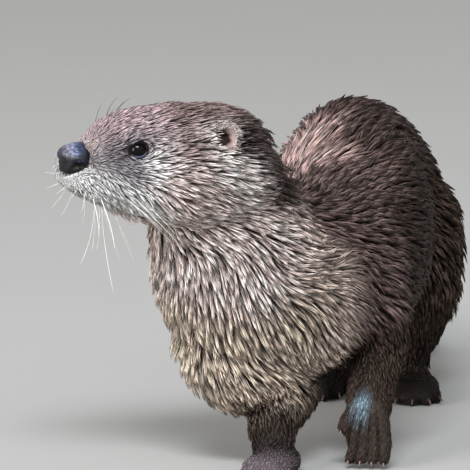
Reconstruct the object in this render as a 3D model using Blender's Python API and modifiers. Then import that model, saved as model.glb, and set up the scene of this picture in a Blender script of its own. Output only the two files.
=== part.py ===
# River otter, life size, standing with its head turned to its right.
# Metres, +Z up. The animal faces -Y, its left side is +X, and it stands on the plane z = 0.
# Lengths below are in millimetres and are turned to metres by MM.

import math

import bmesh
import bpy
import numpy as np
from mathutils import Matrix, Vector

MM = 0.001
GAP = 0.32                     # clear space between neighbouring pieces
VOXEL = 3.0                    # grain of the fused body
BODY_TRIANGLES = 3900
SMOOTHING_PASSES = 5
RING_SIDES = 28
ORIGIN = (-25.0, 150.0, 0.0)   # centre of the whole outline on the ground

# Spine from the poll to the tip of the tail:
# centre x, y, z, then half width, height above and depth below the centre.
SPINE = (
    (-33, -195, 198, 38, 32, 36),
    (-29, -186, 170, 44, 44, 46),
    (-23, -170, 140, 52, 50, 57),
    (-11, -143, 116, 59, 56, 64),
    (5, -98, 113, 61, 56, 62),
    (7, -42, 117, 58, 56, 60),
    (-1, 22, 129, 55, 59, 61),
    (-24, 86, 149, 52, 63, 74),
    (-26, 142, 131, 52, 60, 67),
    (-25, 196, 94, 40, 46, 42),
    (-30, 238, 62, 31, 33, 31),
    (-38, 282, 38, 25, 25, 25),
    (-49, 330, 22, 21, 19, 21),
    (-63, 382, 16, 17, 14.5, 16),
    (-80, 440, 12.5, 13.5, 11, 13),
    (-98, 500, 9, 10, 8, 9.5),
    (-113, 548, 6, 6.5, 5.5, 6.5),
    (-121, 574, 4, 2.5, 2.5, 3.5),
)

# Head: the tip of the nose, and the turn of the face from straight ahead towards its right.
NOSE_TIP = (-104.4, -260.6, 200.7)
HEAD_TURN = 54.0
# Distance back from the tip of the nose, half width, top, bottom, height of the widest line.
SKULL = (
    (3, 10, -10, -17, -13),
    (7, 17, -9, -21, -13),
    (12, 21, -4, -24.5, -13),
    (17, 24, 8, -27, -13),
    (21, 26, 16, -28.5, -13),
    (27, 28, 20.5, -31, -12),
    (36, 30, 25, -34.5, -11),
    (46, 32.5, 28.5, -37.5, -10),
    (58, 37, 31, -40, -9),
    (72, 42, 32.5, -41, -8),
    (86, 44.5, 32, -41, -7),
    (100, 44.5, 28.5, -40, -7),
    (114, 41, 20, -38, -7),
    (126, 33, 8, -33, -9),
)
SKULL_POWER = 2.15
BODY_POWER = 2.1
# Soft masses of the head, the same on both sides: back, aside, up, then half lengths.
FACE_MASSES = {
    "whisker_pad": ((19, 13, -11), (14, 13, 12)),
    "brow": ((42, 18, 14.5), (13, 9.5, 8.5)),
    "cheek": ((76, 25, -14), (27, 19, 25)),
}

# Legs, centre line x, y, z and radius from the body to the ankle.
LEGS = {
    "fore_left": ((36, -102, 112, 34), (46, -96, 88, 27), (49, -92, 68, 21),
                  (51, -108, 53, 17.5), (54, -126, 40, 16), (56, -137, 27, 14)),
    "fore_right": ((-22, -130, 106, 36), (-27, -158, 81, 36), (-13, -156, 60, 30),
                   (5, -134, 47, 21), (2, -157, 34, 19), (4, -171, 22, 15),
                   (9, -180, 14, 12)),
    "hind_left": ((-12, 158, 142, 31), (-4, 156, 120, 40), (7, 146, 92, 35), (12, 136, 64, 27),
                  (10, 142, 41, 18), (7, 151, 23, 13.5), (8, 146, 13, 12)),
    "hind_right": ((-38, 158, 142, 31), (-46, 156, 120, 40), (-50, 147, 92, 35), (-53, 138, 64, 27),
                   (-53, 143, 41, 18), (-48, 151, 23, 13.5), (-47, 145, 13, 12)),
}

# Feet: palm centre and half lengths, heading (degrees from straight ahead, + to the left),
# reach and radius of the toes, height of the knuckles, spread of the toes.
FEET = {
    "fore_left": dict(palm=(55, -139, 24), half=(16, 9.5, 14), heading=6, start=5, reach=17,
                      thick=4.6, knuckle=15, spread=40, lean=9, claw=6.0),
    "fore_right": dict(palm=(10, -182, 8.0), half=(16.5, 19, 9.5), heading=3, start=12, reach=38,
                       thick=4.8, knuckle=10, spread=29, lean=4, claw=7.0),
    "hind_left": dict(palm=(11, 132, 8.0), half=(19, 24, 9.5), heading=14, start=14, reach=44,
                      thick=5.0, knuckle=10, spread=30, lean=4, claw=7.0),
    "hind_right": dict(palm=(-47, 131, 8.0), half=(19, 24, 9.5), heading=-8, start=14, reach=46,
                       thick=5.0, knuckle=10, spread=32, lean=4, claw=7.0),
}
# Toe lengths as shares of the reach, from the inner toe to the outer one.
TOE_SHARE = (0.70, 0.94, 1.0, 0.97, 0.82)

EYE = dict(back=43.5, aside=23.2, up=5.5, radius=7.6)
EAR = dict(back=95, aside=36.5, up=15.5, half=(9.4, 4.8, 8.8), hollow=(7.0, 4.4, 6.3))
NOSE = dict(back=12, up=-0.5, half=(12, 13, 10.5), square=0.82)
NOSTRIL = dict(back=2.6, aside=7.2, up=-2.5, half=(4.6, 2.8, 2.6), slant=35)

# Where the fused body is parted: each piece is the space nearer to its own ball than to any
# other, measured by the power of a point, so two neighbours part where their balls cross.
# Centre x, y, z and radius.
PARTS = {
    "neck": (-20, -170, 158, 52),
    "chest": (8, -98, 112, 66),
    "trunk": (2, 2, 122, 64),
    "rump": (-16, 118, 130, 68),
    "tail_base": (-32, 248, 58, 44),
    "tail_middle": (-56, 356, 19, 40),
    "tail_tip": (-95, 492, 9, 38),
    "foreleg_left_upper": (58, -96, 82, 28),
    "foreleg_left_lower": (52, -112, 46, 21),
    "forefoot_left": (57, -147, 12, 22),
    "foreleg_right_upper": (-20, -154, 68, 36),
    "foreleg_right_lower": (7, -146, 34, 22),
    "forefoot_right": (11, -194, 6, 26),
    "hindleg_left_thigh": (16, 144, 82, 42),
    "hindleg_left_shank": (12, 146, 32, 22),
    "hindfoot_left": (20, 116, 6, 28),
    "hindleg_right_thigh": (-58, 145, 82, 42),
    "hindleg_right_shank": (-52, 147, 32, 22),
    "hindfoot_right": (-50, 116, 6, 28),
}
HEAD_BALL = (66, 0, 6, 54)     # in the head's own directions: back, aside, up, radius
# The mouth line runs back from the lips and down to the corners: back and up of both ends.
MOUTH = ((2, -17.5), (50, -30))

COLOURS = {
    "coat": ((0.085, 0.052, 0.038), 0.62),
    "throat": ((0.33, 0.25, 0.19), 0.62),
    "leg": ((0.045, 0.029, 0.024), 0.5),
    "nose": ((0.018, 0.02, 0.03), 0.45),
    "eye": ((0.012, 0.008, 0.006), 0.08),
    "ear": ((0.30, 0.22, 0.20), 0.6),
    "claw": ((0.42, 0.30, 0.26), 0.35),
}


def head_directions():
    # forward, left and up of the head
    turn = math.radians(HEAD_TURN)
    forward = np.array([-math.sin(turn), -math.cos(turn), 0.0])
    left = np.array([math.cos(turn), -math.sin(turn), 0.0])
    return forward, left, np.array([0.0, 0.0, 1.0])


def head_point(back, aside, up):
    forward, left, high = head_directions()
    return np.array(NOSE_TIP) - back * forward + aside * left + up * high


def smooth_rows(rows, between):
    # a Catmull-Rom curve through the rows, with some steps between two of them
    rows = np.array(rows, float)
    padded = np.vstack([2 * rows[0] - rows[1], rows, 2 * rows[-1] - rows[-2]])
    place = np.linspace(0, len(rows) - 1, (len(rows) - 1) * between + 1)
    index = np.minimum(place.astype(int), len(rows) - 2)
    t = (place - index)[:, None]
    a, b, c, d = (padded[index + k] for k in range(4))
    return 0.5 * (2 * b + (c - a) * t + (2 * a - 5 * b + 4 * c - d) * t ** 2
                  + (3 * b - a - 3 * c + d) * t ** 3)


def oval(half_width, above, below, power):
    # a superellipse, unlike above and below: sideways and upward offsets
    angle = np.arange(RING_SIDES) * 2 * math.pi / RING_SIDES
    cos, sin = np.cos(angle), np.sin(angle)
    side = half_width * np.sign(cos) * np.abs(cos) ** (2 / power)
    high = np.where(sin > 0, above, below) * np.sign(sin) * np.abs(sin) ** (2 / power)
    return side, high


def add_loft(form, rings):
    # skins closed rings of points one after another and closes both ends
    loops = [[form.verts.new(Vector(point) * MM) for point in ring] for ring in rings]
    for here, there in zip(loops, loops[1:]):
        for k in range(len(here)):
            n = (k + 1) % len(here)
            form.faces.new((here[k], here[n], there[n], there[k]))
    form.faces.new(loops[0][::-1])
    form.faces.new(loops[-1])


def add_ball(form, centre, half, axes=None, segments=16, rings=10, square=1.0):
    # an ellipsoid with half lengths along three axes; a square under 1 fills its corners
    matrix = Matrix.Identity(4)
    axes = np.eye(3) if axes is None else np.array(axes)
    for column in range(3):
        for row in range(3):
            matrix[row][column] = axes[column][row] * half[column] * MM
    for row in range(3):
        matrix[row][3] = centre[row] * MM
    made = bmesh.ops.create_uvsphere(form, u_segments=segments, v_segments=rings, radius=1.0)
    for vert in made["verts"]:
        vert.co = matrix @ Vector(math.copysign(abs(c) ** square, c) for c in vert.co)


def add_tube(form, rows, between=4):
    # round sections along a curve through rows of x, y, z and radius
    rows = smooth_rows(rows, between)
    centres, radii = rows[:, :3], rows[:, 3]
    along = np.gradient(centres, axis=0)
    along /= np.linalg.norm(along, axis=1)[:, None]
    rings = []
    for centre, tangent, radius in zip(centres, along, radii):
        side = np.cross(tangent, (0.0, -0.6, 0.8))
        side /= np.linalg.norm(side)
        high = np.cross(side, tangent)
        out, up = oval(radius, radius, radius, 2)
        rings.append(centre + np.outer(out, side) + np.outer(up, high))
    add_loft(form, rings)


def add_trunk(form):
    rows = smooth_rows(SPINE, 4)
    along = np.gradient(rows[:, :3], axis=0)
    along /= np.linalg.norm(along, axis=1)[:, None]
    rings = []
    for row, tangent in zip(rows, along):
        left = np.cross(tangent, (0, 0, 1))
        left /= np.linalg.norm(left)
        side, high = oval(*row[3:], BODY_POWER)
        rings.append(row[:3] + np.outer(side, left) + np.outer(high, np.cross(left, tangent)))
    add_loft(form, rings)


def add_skull(form):
    forward, left, up = head_directions()
    rings = []
    for back, half_width, top, bottom, widest in smooth_rows(SKULL, 3):
        side, high = oval(half_width, top - widest, widest - bottom, SKULL_POWER)
        rings.append(head_point(back, 0, widest) + np.outer(side, left) + np.outer(high, up))
    add_loft(form, rings)
    for (back, aside, high), half in FACE_MASSES.values():
        for hand in (1, -1):
            add_ball(form, head_point(back, hand * aside, high), half, (forward, left, up))


def toe_rows(name):
    # for each toe, from the inner one: its direction, its tip, and points with radii from
    # the palm over the knuckle to the pad
    foot = FEET[name]
    outward = 1 if name.endswith("left") else -1
    toes = []
    for share, fan in zip(TOE_SHARE, np.linspace(-1, 1, len(TOE_SHARE))):
        angle = math.radians(foot["heading"] + outward * fan * foot["spread"])
        ahead = np.array([math.sin(angle), -math.cos(angle), 0.0])
        base = np.array(foot["palm"], float) + ahead * foot["start"]
        tip = np.array(foot["palm"], float) + ahead * foot["reach"] * share
        knuckle = base * 0.45 + tip * 0.55
        base[2] *= 0.85
        knuckle[2] = foot["knuckle"]
        tip[2] = foot["thick"] * 0.5
        pad = tip - ahead * foot["lean"]
        pad[2] = foot["thick"] * 0.85
        thick = foot["thick"]
        toes.append((ahead, tip, ((*base, thick * 1.2), (*knuckle, thick * 1.05),
                                  (*pad, thick), (*tip, thick * 0.62))))
    return toes


def add_foot(form, name):
    foot = FEET[name]
    angle = math.radians(foot["heading"])
    ahead = (math.sin(angle), -math.cos(angle), 0)
    aside = (math.cos(angle), math.sin(angle), 0)
    add_ball(form, foot["palm"], foot["half"], (aside, ahead, (0, 0, 1)))
    toes = toe_rows(name)
    for _, _, rows in toes:
        add_tube(form, rows, 3)
    for (_, _, one), (_, _, two) in zip(toes, toes[1:]):
        web = (np.array(one[1][:3]) * 0.55 + np.array(two[1][:3]) * 0.45) + np.array(ahead) * 2
        web[2] = foot["thick"] * 0.95
        add_ball(form, web, (6.5, 7.5, foot["thick"] * 0.6), (aside, ahead, (0, 0, 1)), 12, 8)


def new_object(name, form, group):
    bmesh.ops.recalc_face_normals(form, faces=form.faces)
    mesh = bpy.data.meshes.new(name)
    form.to_mesh(mesh)
    form.free()
    made = bpy.data.objects.new(name, mesh)
    group.objects.link(made)
    return made


def settled(thing):
    # the object's mesh with its modifiers applied
    depsgraph = bpy.context.evaluated_depsgraph_get()
    mesh = bpy.data.meshes.new_from_object(thing.evaluated_get(depsgraph))
    thing.modifiers.clear()
    thing.data = mesh
    return thing


def cut(thing, cutter, operation="DIFFERENCE"):
    boolean = thing.modifiers.new("cut", "BOOLEAN")
    boolean.operation = operation
    boolean.solver = "EXACT"
    boolean.object = cutter
    return settled(thing)


def fused_body(group):
    form = bmesh.new()
    add_trunk(form)
    add_skull(form)
    for name, rows in LEGS.items():
        add_tube(form, rows)
        add_foot(form, name)
    body = new_object("fused_body", form, group)
    remesh = body.modifiers.new("fuse", "REMESH")
    remesh.mode = "VOXEL"
    remesh.voxel_size = VOXEL * MM
    smooth = body.modifiers.new("smooth", "SMOOTH")
    smooth.factor = 0.5
    smooth.iterations = SMOOTHING_PASSES
    triangles = body.modifiers.new("triangles", "TRIANGULATE")
    triangles.min_vertices = 4
    settled(body)
    thin = body.modifiers.new("fewer faces", "DECIMATE")
    thin.ratio = BODY_TRIANGLES / len(body.data.polygons)
    settled(body)
    ground = bmesh.new()
    bmesh.ops.create_cube(ground, size=1.0, matrix=Matrix.Translation((0, 0.1, -0.5))
                          @ Matrix.Diagonal((2, 2, 1, 1)))
    return cut(body, new_object("ground_cutter", ground, group))


def grown(body, group):
    # the body swollen by the gap, which trims the pieces that sit on it
    copy = body.copy()
    copy.data = body.data.copy()
    copy.name = "grown_body"
    group.objects.link(copy)
    swell = copy.modifiers.new("swell", "DISPLACE")
    swell.strength = GAP * MM
    swell.mid_level = 0.0
    return settled(copy)


def part_balls():
    balls = {name: (np.array(row[:3], float), row[3]) for name, row in PARTS.items()}
    balls["head"] = (head_point(*HEAD_BALL[:3]), HEAD_BALL[3])
    return balls


def parted(body, name, balls, group):
    # cuts the body with the plane between this ball and each other one, and keeps this side
    centre, radius = balls[name]
    form = bmesh.new()
    form.from_mesh(body.data)
    for other, (other_centre, other_radius) in balls.items():
        if other == name:
            continue
        across = other_centre - centre
        distance = np.linalg.norm(across)
        reach = (distance ** 2 + radius ** 2 - other_radius ** 2) / (2 * distance) - GAP / 2
        plane = centre + across / distance * reach
        geometry = form.verts[:] + form.edges[:] + form.faces[:]
        result = bmesh.ops.bisect_plane(form, geom=geometry, dist=1e-7, plane_co=Vector(plane) * MM,
                                        plane_no=Vector(across / distance), clear_outer=True)
        rim = [e for e in result["geom_cut"] if isinstance(e, bmesh.types.BMEdge)]
        if rim:
            bmesh.ops.triangle_fill(form, edges=rim, use_beauty=True)
    bmesh.ops.triangulate(form, faces=form.faces)
    return new_object(name, form, group)


def eyeball(name, hand, radius, group):
    form = bmesh.new()
    place = head_point(EYE["back"], hand * EYE["aside"], EYE["up"])
    add_ball(form, place, (radius,) * 3, None, 12, 8)
    return new_object(name, form, group)


def ear(side, hand, parts, cutters):
    # a rounded cup, open outwards and forwards
    forward, left, up = head_directions()
    aside = hand * left
    opening = aside * 0.80 + forward * 0.60
    along = np.cross(up, opening)
    place = head_point(EAR["back"], hand * EAR["aside"], EAR["up"])
    form = bmesh.new()
    add_ball(form, place, EAR["half"], (along, opening, up), 12, 7)
    cup = new_object("ear_" + side, form, parts)
    form = bmesh.new()
    add_ball(form, place + opening * 4.4 + up * 0.4, EAR["hollow"], (along, opening, up), 12, 6)
    cut(cup, new_object("ear_hollow", form, cutters))
    return cup


def nose(parts, cutters):
    forward, left, up = head_directions()
    form = bmesh.new()
    add_ball(form, head_point(NOSE["back"], 0, NOSE["up"]), NOSE["half"], (forward, left, up), 16, 9,
             NOSE["square"])
    pad = new_object("nose", form, parts)
    slant = math.radians(NOSTRIL["slant"])
    for hand in (1, -1):
        form = bmesh.new()
        along = forward * math.cos(slant) + hand * left * math.sin(slant)
        across = np.cross(up, along)
        place = head_point(NOSTRIL["back"], hand * NOSTRIL["aside"], NOSTRIL["up"])
        add_ball(form, place, NOSTRIL["half"], (along, across, up), 10, 6)
        cut(pad, new_object("nostril_cutter", form, cutters))
    return pad


def claws(name, parts):
    foot = FEET[name]
    made = []
    for k, (ahead, tip, _) in enumerate(toe_rows(name)):
        form = bmesh.new()
        down = Vector((*ahead[:2], -0.22)).normalized()
        turn = down.to_track_quat("Z", "Y").to_matrix().to_4x4()
        middle = Vector(tip) + Vector((0, 0, foot["thick"] * 0.4)) + down * (foot["claw"] * 0.42)
        bmesh.ops.create_cone(form, cap_ends=True, segments=6, radius1=1.55 * MM, radius2=0.35 * MM,
                              depth=foot["claw"] * MM, matrix=Matrix.Translation(middle * MM) @ turn)
        made.append(new_object(f"claw_{name}_{k + 1}", form, parts))
    return made


def jaw_block(slack, group):
    # a block whose top runs along the mouth line and whose back face is below its corner
    forward, left, up = head_directions()
    lips, corner = (head_point(back, 0, high) for back, high in MOUTH)
    along = (lips - corner) / np.linalg.norm(lips - corner)
    down = np.cross(left, along)
    length, depth, width = 80.0, 60.0, 140.0
    centre = corner + along * (length / 2 - slack) + down * (depth / 2 - slack)
    form = bmesh.new()
    bmesh.ops.create_cube(form, size=1.0)
    for vert in form.verts:
        x, y, z = vert.co
        vert.co = Vector(centre + along * x * length + left * y * width + down * z * depth) * MM
    return new_object("jaw_cutter", form, group)


def part_jaw(parts, cutters):
    head = parts.objects["head"]
    jaw = head.copy()
    jaw.data = head.data.copy()
    jaw.name = "lower_jaw"
    parts.objects.link(jaw)
    cut(jaw, jaw_block(0.0, cutters), "INTERSECT")
    cut(head, jaw_block(GAP, cutters))


def paint(thing, finish):
    material = bpy.data.materials.get(finish)
    if material is None:
        material = bpy.data.materials.new(finish)
        material.use_nodes = True
        shader = material.node_tree.nodes["Principled BSDF"]
        colour, roughness = COLOURS[finish]
        shader.inputs["Base Color"].default_value = (*colour, 1)
        shader.inputs["Roughness"].default_value = roughness
    thing.data.materials.clear()
    thing.data.materials.append(material)


def finish_of(name):
    if name in ("neck", "lower_jaw"):
        return "throat"
    for word in ("nose", "eye", "ear", "claw"):
        if name.startswith(word):
            return word
    return "leg" if "leg" in name or "foot" in name else "coat"


def clear_scene():
    for thing in list(bpy.data.objects):
        bpy.data.objects.remove(thing, do_unlink=True)


def main():
    clear_scene()
    parts = bpy.data.collections.new("river_otter")
    cutters = bpy.data.collections.new("cutters")
    for group in (parts, cutters):
        bpy.context.scene.collection.children.link(group)
    body = fused_body(cutters)
    swollen = grown(body, cutters)
    for hand in (1, -1):
        cut(body, eyeball("socket_cutter", hand, EYE["radius"] + GAP, cutters))
    trimmed = [nose(parts, cutters)]
    for side, hand in (("left", 1), ("right", -1)):
        eyeball("eye_" + side, hand, EYE["radius"], parts)
        trimmed.append(ear(side, hand, parts, cutters))
    for name in FEET:
        trimmed += claws(name, parts)
    for piece in trimmed:
        cut(piece, swollen)
    balls = part_balls()
    for name in balls:
        parted(body, name, balls, parts)
    part_jaw(parts, cutters)
    home = Matrix.Translation(Vector(ORIGIN) * -MM)
    for thing in parts.objects:
        thing.data.transform(home)
        paint(thing, finish_of(thing.name))
    for thing in cutters.objects:
        thing.hide_render = True
        thing.display_type = "WIRE"


main()
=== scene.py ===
import math

import bmesh
import bpy
import numpy as np
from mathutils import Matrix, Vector
from mathutils.bvhtree import BVHTree


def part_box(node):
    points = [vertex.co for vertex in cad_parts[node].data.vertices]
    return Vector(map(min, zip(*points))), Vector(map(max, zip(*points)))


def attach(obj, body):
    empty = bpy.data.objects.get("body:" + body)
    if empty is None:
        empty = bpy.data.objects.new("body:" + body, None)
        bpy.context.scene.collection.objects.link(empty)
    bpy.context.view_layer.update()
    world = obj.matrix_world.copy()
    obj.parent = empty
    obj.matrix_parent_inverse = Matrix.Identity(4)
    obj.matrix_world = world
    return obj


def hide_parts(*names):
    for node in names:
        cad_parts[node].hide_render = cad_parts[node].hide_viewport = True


# River otter, life size and still: one skin with the face worked into it, a wet coat of pointed
# locks, and eyes, nose, ears, claws and whiskers of their own. Lengths are working millimetres.

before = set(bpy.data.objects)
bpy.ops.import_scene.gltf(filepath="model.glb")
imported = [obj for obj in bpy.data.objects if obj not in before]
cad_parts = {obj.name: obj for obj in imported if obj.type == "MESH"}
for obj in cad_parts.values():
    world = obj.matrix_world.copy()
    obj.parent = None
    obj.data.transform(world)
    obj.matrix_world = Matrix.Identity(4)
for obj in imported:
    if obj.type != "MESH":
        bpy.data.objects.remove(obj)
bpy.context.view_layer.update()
print("frame loaded,", len(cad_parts), "nodes")

mm = 0.001
home = np.array([-25.0, 150.0, 0.0])        # working millimetres to the frame: (p - home) * mm
noseTip = np.array([-104.4, -260.6, 200.7])
headTurn = math.radians(54)
headForward = np.array([-math.sin(headTurn), -math.cos(headTurn), 0.0])
headLeft = np.array([math.cos(headTurn), -math.sin(headTurn), 0.0])
upward = np.array([0.0, 0.0, 1.0])
dice = np.random.default_rng(41)


def unit(v):
    return v / np.maximum(np.linalg.norm(v, axis=-1, keepdims=True), 1e-9)


def apart(points, place):
    # how far each point is from a place
    return np.linalg.norm(points - place, axis=-1)


def ease(x, low, high):
    # 0 below low, 1 above high, and 3t^2 - 2t^3 between them
    t = np.clip((x - low) / (high - low), 0, 1)
    return t * t * (3 - 2 * t)


def hill(x, width):
    return np.exp(-(x / width) ** 2)


def mix(a, b, t):
    return a + (b - a) * t


def toned(colour, tint, share):
    # each point's colour, drawn towards a tint by the point's share
    return mix(np.asarray(colour), np.array(tint), np.asarray(share)[..., None])


def lower(a, b, k):
    # the smaller of two values, rounded where they meet
    return -k * np.logaddexp(-a / k, -b / k)


def higher(a, b, k):
    return k * np.logaddexp(a / k, b / k)


def powered(values, power):
    # a power that keeps the sign
    return np.sign(values) * np.abs(values) ** power


def circle(count):
    return np.arange(count) * 2 * math.pi / count


def bearing(degrees):
    # the level direction at an angle from straight ahead, and the one to its left
    angle = math.radians(degrees)
    ahead = np.array([math.sin(angle), -math.cos(angle), 0.0])
    return ahead, np.array([math.cos(angle), math.sin(angle), 0.0])


def headPoint(back, aside, up):
    # a place in the head's own directions, counted from the tip of the nose
    back, aside, up = (np.asarray(v, float)[..., None] for v in (back, aside, up))
    return noseTip - back * headForward + aside * headLeft + up * upward


def headSpace(points):
    d = points - noseTip
    return -d @ headForward, d @ headLeft, d @ upward


def fromFrame(node):
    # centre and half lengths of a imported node, in working millimetres
    low, high = (np.array(v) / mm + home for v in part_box(node))
    return (low + high) / 2, (high - low) / 2


def smoothRows(rows, between):
    # a Catmull-Rom curve through the rows, with a number of steps between two of them
    rows = np.array(rows, float)
    padded = np.vstack([2 * rows[0] - rows[1], rows, 2 * rows[-1] - rows[-2]])
    place = np.linspace(0, len(rows) - 1, (len(rows) - 1) * between + 1)
    index = np.minimum(place.astype(int), len(rows) - 2)
    t = (place - index)[:, None]
    a, b, c, d = (padded[index + k] for k in range(4))
    return 0.5 * (2 * b + (c - a) * t + (2 * a - 5 * b + 4 * c - d) * t ** 2
                  + (3 * b - a - 3 * c + d) * t ** 3)


def courseOf(path):
    # the direction of a path at each of its points
    return unit(np.gradient(path, axis=0))


def sections(centres, across, high, width, above, below, power, sides):
    # superellipse rings: x = w cos^(2/power), y = h sin^(2/power), unlike above and below
    cos, sin = np.cos(circle(sides)), np.sin(circle(sides))
    wide = width[:, None] * powered(cos, 2 / power)
    tall = np.where(sin > 0, above[:, None], below[:, None]) * powered(sin, 2 / power)
    return centres[:, None] + wide[..., None] * across[:, None] + tall[..., None] * high[:, None]


def swept(rings):
    # rings of points one after another: quads join them, a fan closes each end
    count, sides = rings.shape[:2]
    points = np.vstack([rings.reshape(-1, 3), rings[0].mean(0), rings[-1].mean(0)])
    k = np.arange(count * sides).reshape(count, sides)
    n = np.roll(k, -1, axis=1)
    quads = np.stack([k[:-1], n[:-1], n[1:], k[1:]], -1).reshape(-1, 4)
    first = np.full(sides, count * sides)
    fans = np.vstack([np.stack([first, n[0], k[0]], -1), np.stack([first + 1, k[-1], n[-1]], -1)])
    return points, quads.tolist() + fans.tolist()


def endTints(colour):
    # a swept form's tints, with one more for the middle of each end
    return np.vstack([colour.reshape(-1, 3), colour[0].mean(0), colour[-1].mean(0)])


def poleAngles(count):
    # angles from pole to pole, half a step off both
    return (np.arange(count) + 0.5) / count * math.pi


def sphere(sides, rings):
    # (sin v cos u, sin v sin u, cos v)
    u, v = circle(sides), poleAngles(rings)
    return np.stack([np.outer(np.sin(v), np.cos(u)), np.outer(np.sin(v), np.sin(u)),
                     np.outer(np.cos(v), np.ones(sides))], -1)


def ball(centre, half, axes, sides=28, rings=16):
    # a sphere stretched along three axes
    return swept(centre + (sphere(sides, rings) * half) @ np.array(axes))


def pipe(path, radius, reference, sides, flat=1.0):
    # rings round a path, turned by a direction that the path never takes
    course = courseOf(path)
    across = unit(np.cross(course, reference))
    high = np.cross(across, course)
    return swept(sections(path, across, high, radius * flat, radius, radius, 2, sides))


def tube(rows, between, sides):
    # a pipe along a curve through rows of x, y, z, radius
    rows = smoothRows(rows, between)
    return pipe(rows[:, :3], rows[:, 3], (0.0, -0.6, 0.8), sides)


def joined(forms):
    # several forms as one, with their points counted on
    points, faces, start = [], [], 0
    for formPoints, formFaces in forms:
        points.append(formPoints)
        faces += [[k + start for k in face] for face in formFaces]
        start += len(formPoints)
    return np.vstack(points), faces


def getAll(source, key, width, kind=np.float32):
    flat = np.empty(len(source) * width, kind)
    source.foreach_get(key, flat)
    return flat.reshape(-1, width)


def setAll(source, key, values):
    source.foreach_set(key, np.asarray(values, np.float32).ravel())


def reworked(mesh, *steps):
    # bmesh operations on all the mesh, one after another
    form = bmesh.new()
    form.from_mesh(mesh)
    for step in steps:
        step(form)
    form.to_mesh(mesh)
    form.free()


def triangled(form):
    bmesh.ops.triangulate(form, faces=form.faces)


def facedOut(form):
    bmesh.ops.recalc_face_normals(form, faces=form.faces)


def placed(name, data):
    made = bpy.data.objects.new(name, data)
    bpy.context.scene.collection.objects.link(made)
    return made


def paintTints(mesh, colours):
    layer = mesh.attributes.new("tint", "FLOAT_COLOR", "POINT")
    setAll(layer.data, "color", np.hstack([np.clip(colours, 0, 1), np.ones((len(colours), 1))]))


def finished(name, mesh, material):
    # a smooth mesh as an object of the one body
    mesh.shade_smooth()
    mesh.materials.append(material)
    made = placed(name, mesh)
    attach(made, "root")
    return made


def piece(name, form, material, colours=None):
    # a closed form as a mesh in the frame's metres, facing outwards
    points, faces = form
    mesh = bpy.data.meshes.new(name)
    mesh.from_pydata(((points - home) * mm).tolist(), [], faces)
    reworked(mesh, facedOut)
    if colours is not None:
        paintTints(mesh, colours)
    return finished(name, mesh, material)


def shader(name, roughness, specular, coat=0.0, coatRoughness=0.1):
    material = bpy.data.materials.new(name)
    material.use_nodes = True
    main = material.node_tree.nodes["Principled BSDF"].inputs
    main["Roughness"].default_value = roughness
    main["Specular IOR Level"].default_value = specular
    main["Coat Weight"].default_value = coat
    main["Coat Roughness"].default_value = coatRoughness
    return material, material.node_tree, main


def addNode(tree, kind, values, joins, **settings):
    # a shader node: its settings, its sockets' values, and what is joined to them
    made = tree.nodes.new("ShaderNode" + kind)
    for key, value in settings.items():
        setattr(made, key, value)
    for key, value in values.items():
        made.inputs[key].default_value = value
    for key, source in joins.items():
        tree.links.new(source, made.inputs[key])
    return made.outputs


def objectPlace(tree):
    return addNode(tree, "TexCoord", {}, {})["Object"]


def ownTint(tree):
    return addNode(tree, "Attribute", {}, {}, attribute_name="tint")["Color"]


def noiseNode(tree, scale, detail, vector):
    return addNode(tree, "TexNoise", {"Scale": scale, "Detail": detail}, {"Vector": vector})["Fac"]


def rampNode(tree, value, stops):
    # stops of place and colour, or of place and grey
    ramp = tree.nodes.new("ShaderNodeValToRGB")
    band = ramp.color_ramp.elements
    band[0].position = stops[0][0]
    band[1].position = stops[-1][0]
    for place, _ in stops[1:-1]:
        band.new(place)
    for element, (_, colour) in zip(band, stops):
        element.color = (*(np.ones(3) * colour), 1)
    tree.links.new(value, ramp.inputs["Fac"])
    return ramp.outputs["Color"]


def multiplied(tree, one, other, share=1.0):
    return addNode(tree, "Mix", {"Factor": share}, {"A": one, "B": other},
                   data_type="RGBA", blend_type="MULTIPLY")["Result"]


def bumped(tree, main, height, strength, distance):
    bump = addNode(tree, "Bump", {"Strength": strength, "Distance": distance}, {"Height": height})
    tree.links.new(bump["Normal"], main["Normal"])


def tintMaterial(name, roughness, specular, coat, coatRoughness, grain, contrast, bumpSize):
    # the piece's own tint, broken up by noise, over a fine bump
    material, tree, main = shader(name, roughness, specular, coat, coatRoughness)
    noise = noiseNode(tree, grain, 3, objectPlace(tree))
    speckle = rampNode(tree, noise, ((0.3, 1 - contrast), (0.7, 1.0)))
    tree.links.new(multiplied(tree, ownTint(tree), speckle), main["Base Color"])
    if bumpSize:
        bumped(tree, main, noise, 0.6, bumpSize)
    return material


# Roughness, specular level, coat and its roughness, grain, contrast, depth of the bump.
finishRows = {
    "wetFur": (0.44, 0.35, 0.05, 0.25, 900, 0.22, 0),
    "darkFur": (0.62, 0.10, 0.02, 0.3, 900, 0.25, 0),
    "underFur": (0.65, 0.2, 0.0, 0.3, 1400, 0.45, 0.0006),
    "earSkin": (0.5, 0.3, 0.05, 0.3, 900, 0.5, 0.0003),
    "clawHorn": (0.32, 0.5, 0.3, 0.15, 600, 0.25, 0.0001),
    "lidSkin": (0.6, 0.06, 0.0, 0.2, 1500, 0.3, 0.0002),
    "whiskerHair": (0.3, 0.5, 0.2, 0.2, 300, 0.15, 0),
}
finishes = {name: tintMaterial(name, *row) for name, row in finishRows.items()}


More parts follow.
